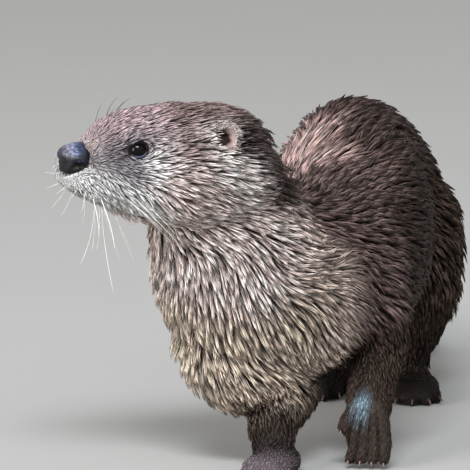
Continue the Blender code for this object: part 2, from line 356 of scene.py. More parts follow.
# Spine from the poll to the tip of the tail: centre, half width, above, below, depth of the coat.
spine = (
    (-33, -195, 198, 38, 32, 36, 5.6), (-29, -186, 170, 43, 44, 41.5, 5.6),
    (-23, -170, 140, 52, 50, 53.5, 5.0), (-11, -143, 116, 59, 56, 64, 5.2),
    (5, -98, 113, 61, 56, 62, 5.2), (7, -42, 117, 58, 56, 60, 5.2),
    (-1, 22, 129, 55, 59, 61, 5.2), (-24, 86, 149, 52, 63, 74, 5.2),
    (-26, 142, 131, 52, 60, 67, 5.2), (-25, 196, 94, 40, 46, 42, 4.8),
    (-30, 238, 62, 31, 33, 31, 4.2), (-38, 282, 38, 25, 25, 25, 3.8),
    (-49, 330, 22, 21, 19, 21, 3.4), (-63, 382, 16, 17, 14.5, 16, 3.0),
    (-80, 440, 12.5, 13.5, 11, 13, 2.6), (-98, 500, 9, 10, 8, 9.5, 2.2),
    (-113, 548, 6, 6.5, 5.5, 6.5, 1.7), (-121, 574, 4, 2.5, 2.5, 3.5, 1.2),
)
# Head: back from the nose tip, half width, top, bottom, height of the widest line.
skull = (
    (3, 10, -10, -17, -13), (7, 17, -9, -19.5, -13), (12, 21, -4, -22.8, -13),
    (17, 24, 5.5, -25.6, -13), (21, 26, 15.5, -27.4, -13), (27, 28, 22.2, -30, -12),
    (36, 30, 26.5, -32.6, -11), (46, 32.5, 29.0, -35.5, -10), (58, 37, 31, -38.5, -9),
    (72, 42, 32.2, -40.5, -8), (86, 44.5, 32.8, -41, -7), (100, 44.5, 31.2, -40, -7),
    (114, 41, 24.5, -38, -7), (126, 34, 12.5, -33, -8),
)
faceMasses = {
    "padLeft": ((20, 13, -13), (13.8, 12.6, 11.4)),
    "padRight": ((16.2, -17.0, -6.5), (14.5, 13.5, 14.0)),
    "browLeft": ((42, 18, 14.5), (13, 9.5, 8.5)),
    "browRight": ((42, -18, 14.5), (13, 9.5, 8.5)),
    "cheekLeft": ((76, 25, -14), (27, 19, 25)),
    "cheekRight": ((76, -25, -14), (27, 19, 25)),
}
legs = {
    "foreLeft": ((36, -102, 112, 34), (46, -96, 88, 27), (49, -92, 68, 21),
                 (51, -108, 53, 17.5), (54, -126, 40, 16), (56, -137, 27, 14)),
    "foreRight": ((-22, -130, 106, 36), (-27, -158, 81, 36), (-13, -156, 60, 30),
                  (5, -134, 47, 21), (2, -157, 34, 19), (4, -171, 22, 15), (9, -180, 14, 12)),
    "hindLeft": ((-12, 158, 142, 31), (-4, 156, 120, 40), (7, 146, 92, 35), (12, 136, 64, 27),
                 (10, 142, 41, 18), (7, 151, 23, 13.5), (8, 146, 13, 12)),
    "hindRight": ((-38, 158, 142, 31), (-46, 156, 120, 40), (-50, 147, 92, 35), (-53, 138, 64, 27),
                  (-53, 143, 41, 18), (-48, 151, 23, 13.5), (-47, 145, 13, 12)),
}
feet = {
    "foreLeft": dict(palm=(57.2, -138.5, 24), half=(14.5, 9.0, 15), heading=6, hang=(42, 26, 12, 4),
                     thick=4.6, claw=3.2),
    "foreRight": dict(palm=(10, -182, 8.0), half=(16.5, 19, 9.5), heading=3, start=12, reach=38,
                      thick=4.8, knuckle=10, spread=29, lean=4, claw=7.0),
    "hindLeft": dict(palm=(11, 132, 8.0), half=(19, 24, 9.5), heading=14, start=14, reach=44,
                     thick=5.0, knuckle=10, spread=30, lean=4, claw=7.0),
    "hindRight": dict(palm=(-47, 131, 8.0), half=(19, 24, 9.5), heading=-8, start=14, reach=46,
                      thick=5.0, knuckle=10, spread=32, lean=4, claw=7.0),
}
toeShare = (0.70, 0.94, 1.0, 0.97, 0.82)       # inner toe to outer toe
# The toes that hang: width of the row for the other toes and for the first, gap to the middle,
# how far ahead, radius, and how much higher the first one hangs.
hanging = dict(wide=(7.0, 11.0, 14.0, 15.0), wideFirst=(7.0, 11.2, 14.0, 15.2),
               inward=(0, 0.7, 1.8, 3.0), ahead=(1.5, 6.5, 11.0, 12.5), further=2.5,
               radius=(4.8, 5.2, 5.3, 3.8), raised=(0, 7, 15, 19))
skinSize = dict(grain=2.3, passes=6, legDepth=2.6, footDepth=0.9, sole=1.2, power=2.1,
                headPower=2.15, junction=22, junctionPasses=24, web=(6.2, 7.2, 0.42))
# Depth of the coat by the distance back from the nose, and by the width of a leg.
headDepth = ((3, 20, 45, 75, 126), (0.5, 0.8, 1.4, 3.0, 5.0))
massDepth = ((19, 76), (0.8, 2.6))
legDepth = ((12, 18, 34), (0.9, skinSize["legDepth"], 4.6))
# Places where the form is drawn in: place, depth, reach.
hollows = (((-54, 58, 198), 5.0, 30), ((-62, 92, 200), 3.0, 26), ((-66, -200, 125), 4.0, 18),
           ((22, 152, 22), 5.0, 15))
# Places where limbs and neck join the body: place and reach.
junctions = ((-30, -180, 165, 34), (36, -110, 92, 26), (-24, -150, 84, 26), (-2, 150, 108, 30),
             (-46, 150, 108, 30), (-33, -205, 172, 30))


def hangingToe(foot, share, fan):
    # toes side by side, from the wrist down to the ground
    ahead, across = bearing(foot["heading"])
    first = fan < -0.9
    high = np.array(foot["hang"]) + np.array(hanging["raised"]) * first
    aside = fan * np.array(hanging["wideFirst" if first else "wide"])
    aside = aside - (0 if first else np.array(hanging["inward"]))
    reach = np.array(hanging["ahead"]) + np.array([0, 0, 0, hanging["further"] * share])
    rows = np.array(foot["palm"], float) + across * aside[:, None] + ahead * reach[:, None]
    rows = np.hstack([rows[:, :2], high[:, None], np.array(hanging["radius"])[:, None]])
    return ahead, rows[-1, :3], rows


def toeRows(name):
    # for each toe: its direction, its tip, and rows of centre and radius, palm to pad
    foot = feet[name]
    outward = 1 if name.endswith("Left") else -1
    thick = foot["thick"]
    toes = []
    for share, fan in zip(toeShare, np.linspace(-1, 1, len(toeShare))):
        if "hang" in foot:
            toes.append(hangingToe(foot, share, fan))
            continue
        ahead, _ = bearing(foot["heading"] + outward * fan * foot["spread"])
        base = np.array(foot["palm"], float) + ahead * foot["start"]
        tip = np.array(foot["palm"], float) + ahead * foot["reach"] * share
        knuckle = base * 0.45 + tip * 0.55
        pad = tip - ahead * foot["lean"]
        base[2] *= 0.85
        knuckle[2], tip[2], pad[2] = foot["knuckle"], thick * 0.5, thick * 0.85
        toes.append((ahead, tip, np.array([(*base, thick * 1.2), (*knuckle, thick * 1.05),
                                           (*pad, thick), (*tip, thick * 0.62)])))
    return toes


def footForms(name):
    # a palm, its toes, and a web between each two toes that are spread
    foot = feet[name]
    ahead, across = bearing(foot["heading"])
    axes = (across, ahead, upward)
    shrink = skinSize["footDepth"]
    forms = [ball(foot["palm"], np.array(foot["half"]) - shrink, axes)]
    toes = [rows for _, _, rows in toeRows(name)]
    forms += [tube(rows - (0, 0, 0, shrink * 0.6), 4, 16) for rows in toes]
    wide, long, high = skinSize["web"]
    for one, two in zip(toes, toes[1:] if "hang" not in foot else ()):
        web = one[1, :3] * 0.55 + two[1, :3] * 0.45 + ahead * 2
        web[2] = foot["thick"] * 0.9
        forms.append(ball(web, (wide, long, foot["thick"] * high), axes))
    return forms


def skinForms():
    # the flesh as forms that overlap, each drawn in by the depth of the coat over it
    rows = smoothRows(spine, 6)
    course = courseOf(rows[:, :3])
    left = unit(np.cross(course, upward))
    width, above, below = (rows[:, k] - rows[:, 6] for k in (3, 4, 5))
    forms = [swept(sections(rows[:, :3], left, np.cross(left, course), width, above, below,
                            skinSize["power"], 48))]
    rows = smoothRows(skull, 4)
    depth = np.interp(rows[:, 0], *headDepth)
    back, width, top, bottom, middle = rows.T
    many = np.ones((len(rows), 1))
    forms.append(swept(sections(headPoint(back, 0, middle), headLeft * many, upward * many,
                                width - depth, top - middle - depth, middle - bottom - depth,
                                skinSize["headPower"], 48)))
    for (back, aside, up), half in faceMasses.values():
        forms.append(ball(headPoint(back, aside, up), np.array(half) - np.interp(back, *massDepth),
                          (headForward, headLeft, upward)))
    for name, rows in legs.items():
        rows = np.array(rows, float)
        rows[:, 3] -= np.interp(rows[:, 3], *legDepth)
        forms.append(tube(rows, 5, 28))
        forms += footForms(name)
    return forms


def fused(forms, grain):
    # one watertight surface round all the forms
    points, faces = joined(forms)
    mesh = bpy.data.meshes.new("skin")
    mesh.from_pydata((points * mm).tolist(), [], faces)
    rough = placed("skin", mesh)
    remesh = rough.modifiers.new("fuse", "REMESH")
    remesh.mode = "VOXEL"
    remesh.voxel_size = grain * mm
    graph = bpy.context.evaluated_depsgraph_get()
    done = bpy.data.meshes.new_from_object(rough.evaluated_get(graph))
    bpy.data.objects.remove(rough)
    return done


def coordinates(mesh):
    return getAll(mesh.vertices, "co", 3).astype(float) / mm


def relaxed(mesh, points, passes, share):
    # each pass moves a point towards the mean of its neighbours, by its share
    a, b = getAll(mesh.edges, "vertices", 2, np.int32).T
    count = np.bincount(np.r_[a, b], minlength=len(points))[:, None]
    for _ in range(passes):
        total = np.stack([np.bincount(a, points[b, k], len(points))
                          + np.bincount(b, points[a, k], len(points)) for k in range(3)], 1)
        points = points + (total / count - points) * share
    return points


def refined(mesh, points, chosen, passes):
    # splits the chosen points' faces in four, and lets the new points settle
    def split(form):
        form.verts.ensure_lookup_table()
        wanted = [e for e in form.edges if chosen[e.verts[0].index] and chosen[e.verts[1].index]]
        bmesh.ops.subdivide_edges(form, edges=wanted, cuts=1, use_grid_fill=True)

    setAll(mesh.vertices, "co", points * mm)
    reworked(mesh, split)
    points = coordinates(mesh)
    region = np.ones(len(points))
    region[:len(chosen)] = chosen
    return relaxed(mesh, points, passes, 0.5 * region[:, None])


eyeCentre = {1: fromFrame("eye_left")[0], -1: fromFrame("eye_right")[0]}
eyeRadius = float(fromFrame("eye_left")[1][2])
eyeShape = dict(front=5.3, behind=4.7, top=4.3, under=4.2, tilt=0.14, lid=0.7, upperLid=0.35,
                spread=9.5, seat=2.6, reach=24, fold=0.75, underFold=0.45, brow=0.5,
                looks=(0.07, 0.98, 0.16))


def eyeAxes(hand):
    # out of the head through the middle of the lids, towards the back corner, and up
    ahead, aside, up = eyeShape["looks"]
    out = unit(ahead * headForward + aside * hand * headLeft + up * upward)
    back = -headForward + eyeShape["tilt"] * upward
    back = unit(back - (back @ out) * out)
    return out, back, unit(np.cross(out, back) * hand)


def lidHalves(a, v):
    # the opening's half length and half height on this side of its middle
    return (np.where(a > 0, eyeShape["behind"], eyeShape["front"]),
            np.where(v > 0, eyeShape["top"], eyeShape["under"]))


def eyeSpace(points, hand):
    # along the lids, up, outwards, and 1 on the lids' edge
    out, back, high = eyeAxes(hand)
    d = points - eyeCentre[hand]
    a, v, w = d @ back, d @ high, d @ out
    long, tall = lidHalves(a, v)
    return a, v, w, np.hypot(a / long, v / tall)


def carveEyes(points):
    # inside the lids' edge the skin lies behind the ball, past it the lids stand over the ball
    # and settle into the face, with a fold above and below and a low brow
    for hand in (1, -1):
        out, _, _ = eyeAxes(hand)
        a, v, w, edge = eyeSpace(points, hand)
        near = (w > 0) & (np.hypot(a, v) < eyeShape["reach"])
        reach = np.sqrt(np.maximum(eyeRadius ** 2 - a ** 2 - v ** 2, 4.0))
        lid = reach + eyeShape["lid"] + eyeShape["upperLid"] * (v > 0)
        away = (edge - 1) * 5.0
        target = mix(lid, w, ease(away, 0.6, eyeShape["spread"]))
        target = np.where(edge < 0.98, reach - eyeShape["seat"], target)
        fold = eyeShape["fold"] * hill(away - 3.6, 0.8) * ease(v, 0.5, 3)
        fold = fold + eyeShape["underFold"] * hill(away - 3.2, 0.8) * ease(-v, 0.5, 3)
        target = target - fold + eyeShape["brow"] * hill(away - 5.6, 1.4) * ease(v, 0, 3)
        points = points + np.where(near, target - w, 0)[:, None] * out
    return points


# The mouth line as (back, up), from the middle of the lips to the corner.
mouthLine = np.array([(2, -16), (4, -17.6), (16, -24.8), (28, -29), (34, -31.2), (48, -36.0),
                      (60, -38)])
mouth = dict(depth=1.9, width=1.3, tuck=1.5, lip=0.8, corner=49)


def mouthSpace(points):
    # height over the mouth line, and 1 ahead of its corner
    back, _, up = headSpace(points)
    over = up - np.interp(back, *mouthLine.T)
    return over, ease(-back, -mouth["corner"] - 3, -mouth["corner"] + 3)


def carveMouth(points, normals):
    # a groove, with the upper lip swelling over it and the lower jaw drawn in
    over, here = mouthSpace(points)
    groove = mouth["depth"] * hill(over, mouth["width"])
    lip = mouth["lip"] * hill(over - 3.4, 2.4)
    tuck = mouth["tuck"] * ease(-over, 0.0, 1.4)
    return points - normals * ((groove + tuck - lip) * here)[:, None]


muzzle = dict(split=1.1, pits=0.22, pitRows=(3.4, 3.8), folds=0.5, foldPitch=9, wing=4.2, seat=3.4,
              cap=2.6)


def carveMuzzle(points, normals):
    # the split of the upper lip under the nose, rows of whisker pits, folds over the cheek
    back, aside, up = headSpace(points)
    wide = -np.abs(aside)
    split = muzzle["split"] * hill(aside, 1.0) * ease(-back, -14, -6)
    split = split * ease(-up, 7, 10) * ease(up, -21, -18)
    high, long = muzzle["pitRows"]
    rows = np.sin((up + 0.30 * back) * 2 * math.pi / high) * np.sin(back * 2 * math.pi / long)
    pits = muzzle["pits"] * rows * hill(back - 20, 9) * hill(up + 12, 7)
    folds = np.sin((up + back * 0.35) * 2 * math.pi / muzzle["foldPitch"])
    folds = muzzle["folds"] * folds * hill(back - 52, 12) * hill(up + 14, 9)
    # room for the sides of the nose, a seat under it, and a cap of skin over its back
    wing = muzzle["wing"] * hill(back - 12.5, 4.2) * hill(up + 3.6, 3.4)
    wing = wing * ease(-wide, 7, 12) * ease(aside, -19, -15)
    points = points - normals * (split + wing - pits - folds)[:, None]
    seat = muzzle["seat"] * ease(wide, -16, -11.5) * ease(up, -12, -8)
    seat = seat * ease(-up, -7, -4) * ease(-back, -19, -16)
    cap = muzzle["cap"] * hill(back - 17, 4) * ease(up, 1, 7) * ease(wide, -15, -9)
    return points + (cap - seat)[:, None] * headForward


def toeGaps(points, wide=0.8):
    # 1 on the lines between the toes of the left forefoot, which hang side by side
    foot = feet["foreLeft"]
    ahead, across = bearing(foot["heading"])
    d = points - foot["palm"]
    z = points[:, 2]
    u = d @ across + np.interp(z, (4, 12, 26, 42), (3.0, 1.8, 0.7, 0))
    front = d @ ahead
    half = np.interp(z, (4, 12, 26, 42), (15, 14, 11, 7)) / 2
    gap = np.abs(u / half - np.clip(np.round(u / half - 0.5) + 0.5, -1.5, 1.5)) * half
    near = (np.abs(u) < 19) * (front < 24)
    return hill(gap, wide) * ease(front, -3, 3) * ease(-z, -40, -30) * near


def flattened(points):
    # the soles reach the ground and are flat there
    low = ease(-points[:, 2], -9, 0) * skinSize["sole"]
    points = points.copy()
    points[:, 2] = np.maximum(points[:, 2] - low, 0.0)
    return points


def vertexNormals(mesh, points):
    setAll(mesh.vertices, "co", points * mm)
    mesh.update()
    return getAll(mesh.vertex_normals, "vector", 3).astype(float)


def makeSkinMesh():
    mesh = fused(skinForms(), skinSize["grain"])
    points = relaxed(mesh, coordinates(mesh), skinSize["passes"], 0.5)
    soft = sum(hill(apart(points, j[:3]) - j[3], skinSize["junction"]) for j in junctions)
    soft = np.clip(soft * (headSpace(points)[0] > 62), 0, 1)[:, None]
    points = relaxed(mesh, points, skinSize["junctionPasses"], 0.5 * soft)
    # finer faces on the front of the head, round the eyes and on the hanging toes
    back, aside, up = headSpace(points)
    points = refined(mesh, points, (back < 62) & (up > -50) & (np.abs(aside) < 45), 3)
    eyes = np.minimum(*(apart(points, eyeCentre[h]) for h in (1, -1))) < 17
    points = refined(mesh, points, eyes, 2)
    paw = np.linalg.norm((points - (57, -146, 22)) / (20, 18, 26), axis=1) < 1
    points = refined(mesh, points, paw, 2)
    normals = vertexNormals(mesh, points)
    points = carveMuzzle(carveMouth(points, normals), normals)
    sink = 2.0 * toeGaps(points) + sum(deep * hill(apart(points, place), reach)
                                       for place, deep, reach in hollows)
    points = flattened(carveEyes(points - normals * sink[:, None]))
    setAll(mesh.vertices, "co", points * mm)
    reworked(mesh, triangled, facedOut)
    mesh.shade_smooth()
    return mesh


skinMesh = makeSkinMesh()
skinPoints = coordinates(skinMesh)
print("skin fused,", len(skinMesh.polygons), "triangles")


# Tints of the coat, at the root and at the tip of a lock; the dark roots are partly the darker
# underfur and partly painted shade deep in the coat.
tints = {
    "white": ((0.12, 0.105, 0.11), (0.99, 1.0, 1.0)),
    "pearl": ((0.05, 0.037, 0.034), (1.0, 0.91, 0.88)),
    "cream": ((0.024, 0.015, 0.012), (0.9, 0.74, 0.7)),
    "tawny": ((0.024, 0.015, 0.012), (0.79, 0.635, 0.605)),
    "straw": ((0.022, 0.014, 0.009), (0.77, 0.63, 0.515)),
    "fawn": ((0.009, 0.0055, 0.004), (0.778, 0.612, 0.535)),
    "mauve": ((0.009, 0.0055, 0.005), (0.272, 0.185, 0.176)),
    "mauveLight": ((0.02, 0.013, 0.013), (0.6, 0.447, 0.465)),
    "lavender": ((0.007, 0.005, 0.008), (0.07, 0.044, 0.088)),
    "nape": ((0.005, 0.003, 0.0024), (0.058, 0.033, 0.027)),
    "umber": ((0.014, 0.0085, 0.007), (0.267, 0.185, 0.171)),
    "hump": ((0.014, 0.009, 0.007), (0.182, 0.122, 0.11)),
    # painted sheen: a pale pinkish brown for light glancing off the wet back
    "loin": ((0.012, 0.008, 0.007), (0.85, 0.585, 0.545)),
    "chocolate": ((0.009, 0.0055, 0.0045), (0.085, 0.055, 0.044)),
    "sable": ((0.0045, 0.003, 0.0025), (0.021, 0.014, 0.012)),
    # painted sheen: a blue-grey tint for light reflected off the wet fur over the eye
    "slate": ((0.016, 0.016, 0.022), (0.153, 0.171, 0.234)),
    "brindle": ((0.016, 0.01, 0.007), (0.202, 0.151, 0.113)),
    "leg": ((0.016, 0.0105, 0.0082), (0.061, 0.041, 0.032)),
    "lipBrown": ((0.012, 0.009, 0.006), (0.065, 0.05, 0.035)),
    # painted sheen: a pale grey-lavender for light reflected off the wet hair of the right forepaw
    "pawGrey": ((0.03, 0.024, 0.026), (0.238, 0.188, 0.218)),
}


def face(back, aside, up):
    return [tuple(headPoint(back, hand * aside, up)) for hand in ((1, -1) if aside else (1,))]


# Regions of the coat: places, reach, tint, then a lock's length, width and height over the skin,
# locks per square centimetre, and locks in a clump.
coat = {
    "bridge": (face(23, 7, 15), 7, "mauveLight", 4.5, 0.7, 0.6, 170, 6),
    "muzzle": (face(17, 17, -12), 6, "white", 6.5, 0.85, 0.8, 140, 8),
    "upperLip": (face(28, 20, -19), 10, "white", 9.5, 1.0, 2.0, 105, 9),
    "lipFront": (face(6, 7, -13) + face(9, 13, -8), 6, "white", 2.2, 0.6, 0.35, 190, 4),
    "lowerLip": (face(11, 5, -25) + face(20, 9, -30) + face(34, 13, -35), 5, "lipBrown",
                 5.0, 0.9, 1.4, 110, 7),
    "chin": (face(28, 0, -33), 4, "fawn", 5.0, 0.9, 1.2, 90, 7),
    "jaw": (face(52, 8, -41), 9, "straw", 8.0, 1.2, 2.4, 70, 9),
    "jowl": (face(44, 22, -28), 8, "white", 12, 1.0, 2.6, 100, 12),
    "noseEdge": (face(16.5, 11, 6) + face(17, 13.5, 1), 1, "cream", 2.6, 0.6, 0.4, 190, 4),
    "beforeEye": (face(19, 18, -1) + face(24, 23, 2) + face(31, 26, 1) + face(36, 28, -4)
                  + face(39, 29, -7), 5, "lavender", 5.5, 0.75, 0.9, 140, 6),
    # painted sheen over the eye
    "lidBand": (face(44, 28, 13.5), -1, "slate", 5.0, 0.7, 0.7, 150, 6),
    "underEye": (face(51, 32, -5), 6, "white", 8.0, 0.95, 1.1, 110, 9),
    "forehead": (face(44, 14, 24), 12, "mauveLight", 9.5, 0.8, 1.0, 110, 9),
    "crown": (face(78, 14, 30), 17, "mauve", 10.5, 1.1, 1.5, 66, 10),
    "poll": (face(102, 9, 29), 9, "mauve", 12.5, 1.3, 3.6, 60, 20),
    "earFront": (face(85, 36.5, 16), 1, "white", 6.5, 0.9, 1.3, 110, 10),
    "temple": (face(70, 38, 6), 11, "mauve", 9.5, 1.1, 1.4, 70, 10),
    "cheek": (face(68, 36, -18), 17, "tawny", 14.0, 1.0, 2.8, 92, 10),
    "belowEar": (face(98, 42, -8) + face(88, 42, -2), 11.4, "pearl", 14.0, 1.0, 3.6, 88, 11),
    # painted shadow: a dark brindle patch under the cheek, where the jaw shades the neck
    "paintedShadeUnderJaw": (face(71, 30, -45), 4, "brindle", 13.0, 1.2, 3.0, 76, 20),
    "behindEar": (face(113, 37, 8), 15.0, "nape", 12.0, 1.4, 4.6, 54, 14),
    "occiput": (face(118, 12, 20), 14, "nape", 13.0, 1.5, 5.4, 54, 22),
    "nape": (((13, -200, 188), (-2, -178, 200), (-28, -158, 205), (-60, -170, 195), (-72, -205, 190)),
             12, "nape", 16.0, 1.6, 6.8, 48, 24),
    "neckSide": (((-9, -232, 168), (8, -212, 150), (-70, -235, 165), (-82, -190, 150)), 14, "cream",
                 16.0, 1.0, 4.2, 88, 14),
    "throat": (((-52, -222, 145), (-30, -226, 128), (2, -214, 122), (-70, -205, 128)), 18, "cream",
               17.0, 1.0, 4.8, 86, 17),
    "chest": (((-45, -196, 98), (-8, -206, 96), (24, -188, 98)), 20, "straw", 18.0, 1.0, 5.0, 80, 15),
    "brisket": (((-38, -180, 66), (-6, -190, 66), (14, -172, 62)), 16, "straw", 17.0, 1.0, 4.8, 78, 13),
    "shoulder": (((34, -182, 124), (40, -165, 108), (-72, -165, 112)), 15, "fawn",
                 18.0, 1.0, 4.4, 80, 12),
    "withers": (((10, -110, 172), (30, -130, 156), (-30, -120, 172)), 22, "umber",
                15.0, 1.6, 3.4, 42, 16),
    "shoulderBack": (((60, -122, 122), (-58, -115, 116)), 24, "umber", 15.0, 1.6, 3.4, 42, 16),
    "flank": (((66, -40, 118), (58, 14, 132), (46, 50, 140), (-52, -40, 120), (-64, 10, 126),
               (-66, 50, 128)), 32, "chocolate", 15.0, 1.7, 3.2, 36, 13),
    "belly": (((5, -50, 56), (0, 20, 68)), 26, "umber", 12.0, 1.9, 3.6, 28, 14),
    "back": (((6, -40, 172),), 26, "umber", 16.0, 1.7, 3.2, 38, 14),
    # painted sheen on the loin and the left of the hump
    "loin": (((-22, -7, 177), (-52, 20, 168), (-30, 22, 188), (-50, 38, 182)), 25, "loin",
             20.0, 1.5, 3.2, 42, 18),
    "hump": (((-22, 70, 208), (-4, 20, 186), (-40, 110, 206)), 30, "hump", 20.0, 1.6, 3.2, 40, 17),
    "haunch": (((34, 110, 140), (-82, 110, 140), (30, 160, 110), (-78, 160, 110)), 34, "chocolate",
               13.0, 2.0, 3.6, 28, 11),
    "rump": (((-26, 186, 142),), 30, "chocolate", 13.0, 2.0, 3.6, 28, 11),
    "tail": (((-30, 240, 62), (-46, 320, 24), (-66, 390, 16)), 24, "chocolate", 11.0, 2.0, 2.8, 22, 10),
    "tailEnd": (((-90, 470, 11), (-112, 550, 6)), 20, "leg", 9.0, 1.7, 1.8, 28, 8),
    "armRight": (((2, -180, 44), (-14, -184, 44), (14, -160, 54)), 10, "brindle",
                 13.0, 1.35, 4.4, 60, 22),
    "elbowLeft": (((50, -96, 78),), 14, "chocolate", 9.0, 1.3, 2.0, 54, 14),
    "foreLegs": (((52, -112, 50), (2, -140, 46), (2, -160, 34)), 12, "leg", 6.5, 1.1, 1.0, 66, 9),
    "pawLeft": (((57, -152, 22),), 20, "leg", 5.5, 0.8, 0.4, 95, 6),
    "wristRight": (((4, -178, 24), (6, -172, 34)), 11, "sable", 5.0, 1.0, 0.8, 70, 8),
    # painted sheen on the right forepaw
    "pawRight": (((11, -205, 12),), 12, "pawGrey", 3.6, 0.9, 0.35, 90, 7),
    "shanks": (((10, 142, 44), (-53, 143, 44), (8, 151, 24), (-49, 151, 24)), 14, "leg",
               7.0, 1.5, 1.5, 42, 9),
    "hindFeet": (((18, 112, 8), (-50, 112, 8)), 22, "sable", 5.0, 1.0, 0.4, 64, 6),
}
coatSoftness = 5.5
# Painted sheen on the left wrist: a pale blue tint along a line, on the hairs and less on the skin, for
# light reflected off the wet coat.
paintedSheenStreak = dict(top=(54, -142, 50), foot=(55, -152, 34), reach=(0.5, 9.5), tint=(0.52, 0.80, 1.0),
                 onSkin=0.35, skinTone=0.6)


def paintedSheenShare(points):
    # 1 along the line of the painted sheen on the left wrist, 0 outside its reach
    top, foot = np.array(paintedSheenStreak["top"], float), np.array(paintedSheenStreak["foot"], float)
    line = foot - top
    along = np.clip((points - top) @ line / (line @ line), 0, 1)
    return 1 - ease(apart(points - top, along[:, None] * line), *paintedSheenStreak["reach"])


def coatAt(points):
    # each region's share falls off with its distance: softmax of (reach - distance) / softness
    scores = np.array([(reach - np.min([apart(points, p) for p in places], axis=0)) / coatSoftness
                       for places, reach, *_ in coat.values()]).T
    share = np.exp(scores - scores.max(1, keepdims=True))
    share /= share.sum(1, keepdims=True)
    rootTint, tipTint = (share @ np.array([tints[row[2]][k] for row in coat.values()]) for k in (0, 1))
    return rootTint, tipTint, share @ np.array([row[3:] for row in coat.values()])


earShape = dict(back=94.6, aside=38.4, up=13.0, width=8.2, height=6.8)


def darkMarksAndShade(points):
    # 1 on the dark line of the lips and at the front corner of the eye, and on painted shade between
    # the hanging toes and in the gap behind the ear
    over, here = mouthSpace(points)
    # the lips' dark line, and painted shade between the hanging toes
    darkAndShadeMarks = [ease(-over, -1.6, 0.0) * ease(over, -6.0, -3.4) * here, toeGaps(points, 1.15)]
    for hand in (1, -1):
        a, v, w, _ = eyeSpace(points, hand)
        darkAndShadeMarks.append(hill(a + 7.4, 2.8) * hill(v - 1.2, 2.0) * (w > 0))
    back, aside, up = headSpace(points)
    behind = back - earShape["back"] - 1
    far = np.hypot(behind / (earShape["width"] + 1), (up - earShape["up"]) / (earShape["height"] + 1.6))
    # painted shade in the gap behind the ear
    darkAndShadeMarks.append(hill(far - 1.14, 0.15) * ease(behind, 1, 5) * (np.abs(aside) > 25))
    return np.max(darkAndShadeMarks, axis=0)


# How steeply the hair falls from the spine, by the place along it.
spineFall = ((0, 2, 4, 6, 9, 17), (0.5, 0.5, 0.42, 0.30, 0.25, 0.05))


def guideRows():
    # points inside the body, how far the skin is from them, and the lie of the hair there
    rows = smoothRows(spine, 4)
    fall = np.interp(np.arange(len(rows)) / 4, *spineFall)[:, None]
    lie = unit(courseOf(rows[:, :3]) - upward * fall)
    guides = [np.hstack([rows[:, :3], rows[:, 3:6].mean(1)[:, None], lie])]
    back, width, top, bottom, middle = smoothRows(skull, 3).T
    reach = (width + (top - bottom) / 2) / 2
    guides.append(np.hstack([headPoint(back, 0, middle), reach[:, None],
                             np.tile(-headForward, (len(back), 1))]))
    for name, leg in legs.items():
        rows = smoothRows(leg, 3)[4:]
        guides.append(np.hstack([rows, courseOf(rows[:, :3])]))
        for _, _, toe in toeRows(name):
            rows = smoothRows(toe, 3)
            guides.append(np.hstack([rows, courseOf(rows[:, :3])]))
    return np.vstack(guides)


# Places where the hair turns: place, reach, direction.
turns = (
    ((14, -199, 163), 12, (0.91, 0.25, -0.34)), ((18, -196, 152), 12, (0.95, 0.31, 0.03)),
    ((25, -192, 126), 14, (0.93, 0.32, 0.17)), ((32, -178, 142), 13, (0.80, 0.32, 0.50)),
    ((41, -166, 130), 15, (0.80, 0.32, 0.50)), ((47, -150, 137), 12, (0.82, 0.33, 0.46)),
    ((58, -132, 118), 16, (0.80, 0.20, -0.56)), ((26, -182, 90), 14, (0.39, 0.0, -0.92)),
    ((36, -166, 84), 10, (0.64, 0.11, -0.76)), ((44, -154, 87), 10, (0.77, 0.17, -0.61)),
    ((-50, 23, 169), 20, (0.42, 0.25, 0.87)), ((-34, 1, 171), 20, (0.58, 0.29, 0.76)),
    ((-32, 21, 186), 20, (0.52, 0.27, 0.81)), ((-21, 28, 195), 20, (0.47, 0.26, 0.84)),
    ((-2, -17, 179), 20, (0.73, 0.31, 0.61)), ((-11, 54, 205), 22, (0.50, 0.27, 0.82)),
)


# How far the hair falls over the whisker pad, cheek, jowl and back of the head, how it spreads
# from the pad, and how far round the eye it parts.
headFall = dict(pad=1.15, cheek=0.36, jowl=0.85, poll=0.22, spread=0.25, parting=5.5)


def lieAt(points, normals):
    guides = guideRows()
    lie = np.zeros_like(points)
    for start in range(0, len(points), 8000):
        some = slice(start, start + 8000)
        d = apart(points[some, None], guides[None, :, :3]) - guides[:, 3]
        share = np.exp(-(d / 13) ** 2) + 1e-6 / (1 + d ** 2)
        lie[some] = share @ guides[:, 4:]
    lie = unit(lie)
    # over the trunk the hair also falls outwards from the spine
    outward = mix(-0.25, 0.40, ease(normals[:, 0], -0.85, -0.45))
    lie[:, 0] += outward * ease(points[:, 1], -95, -45) * ease(points[:, 2], 95, 130)
    for place, reach, way in turns:
        lie = unit(toned(lie, way, 0.9 * hill(apart(points, place), reach)))
    back, aside, up = headSpace(points)
    onHead = ease(-back, -118, -88) * ease(up, -62, -46)
    pad = hill(back - 20, 17) * ease(-up, -2, 10)
    cheek = ease(back, 36, 66) * ease(-up, -6, 22)
    jowl = hill(back - 38, 20) * ease(-up, 8, 26)
    fall = (headFall["pad"] * pad + headFall["cheek"] * cheek + headFall["jowl"] * jowl
            + headFall["poll"] * ease(back, 70, 110))
    spread = headFall["spread"] * np.sign(aside) * pad
    headLie = unit(-headForward - upward * fall[:, None] + headLeft * spread[:, None])
    lie = unit(mix(lie, headLie, onHead[:, None]))
    for hand in (1, -1):                     # the hair parts round the eye
        d = points - eyeCentre[hand]
        r = np.linalg.norm(d, axis=1, keepdims=True)
        radial = d / r
        inward = np.minimum((lie * radial).sum(1, keepdims=True), 0)
        lie = lie - radial * inward * hill(np.maximum(r - 8, 0), headFall["parting"])
    return unit(lie - normals * (lie * normals).sum(1, keepdims=True))


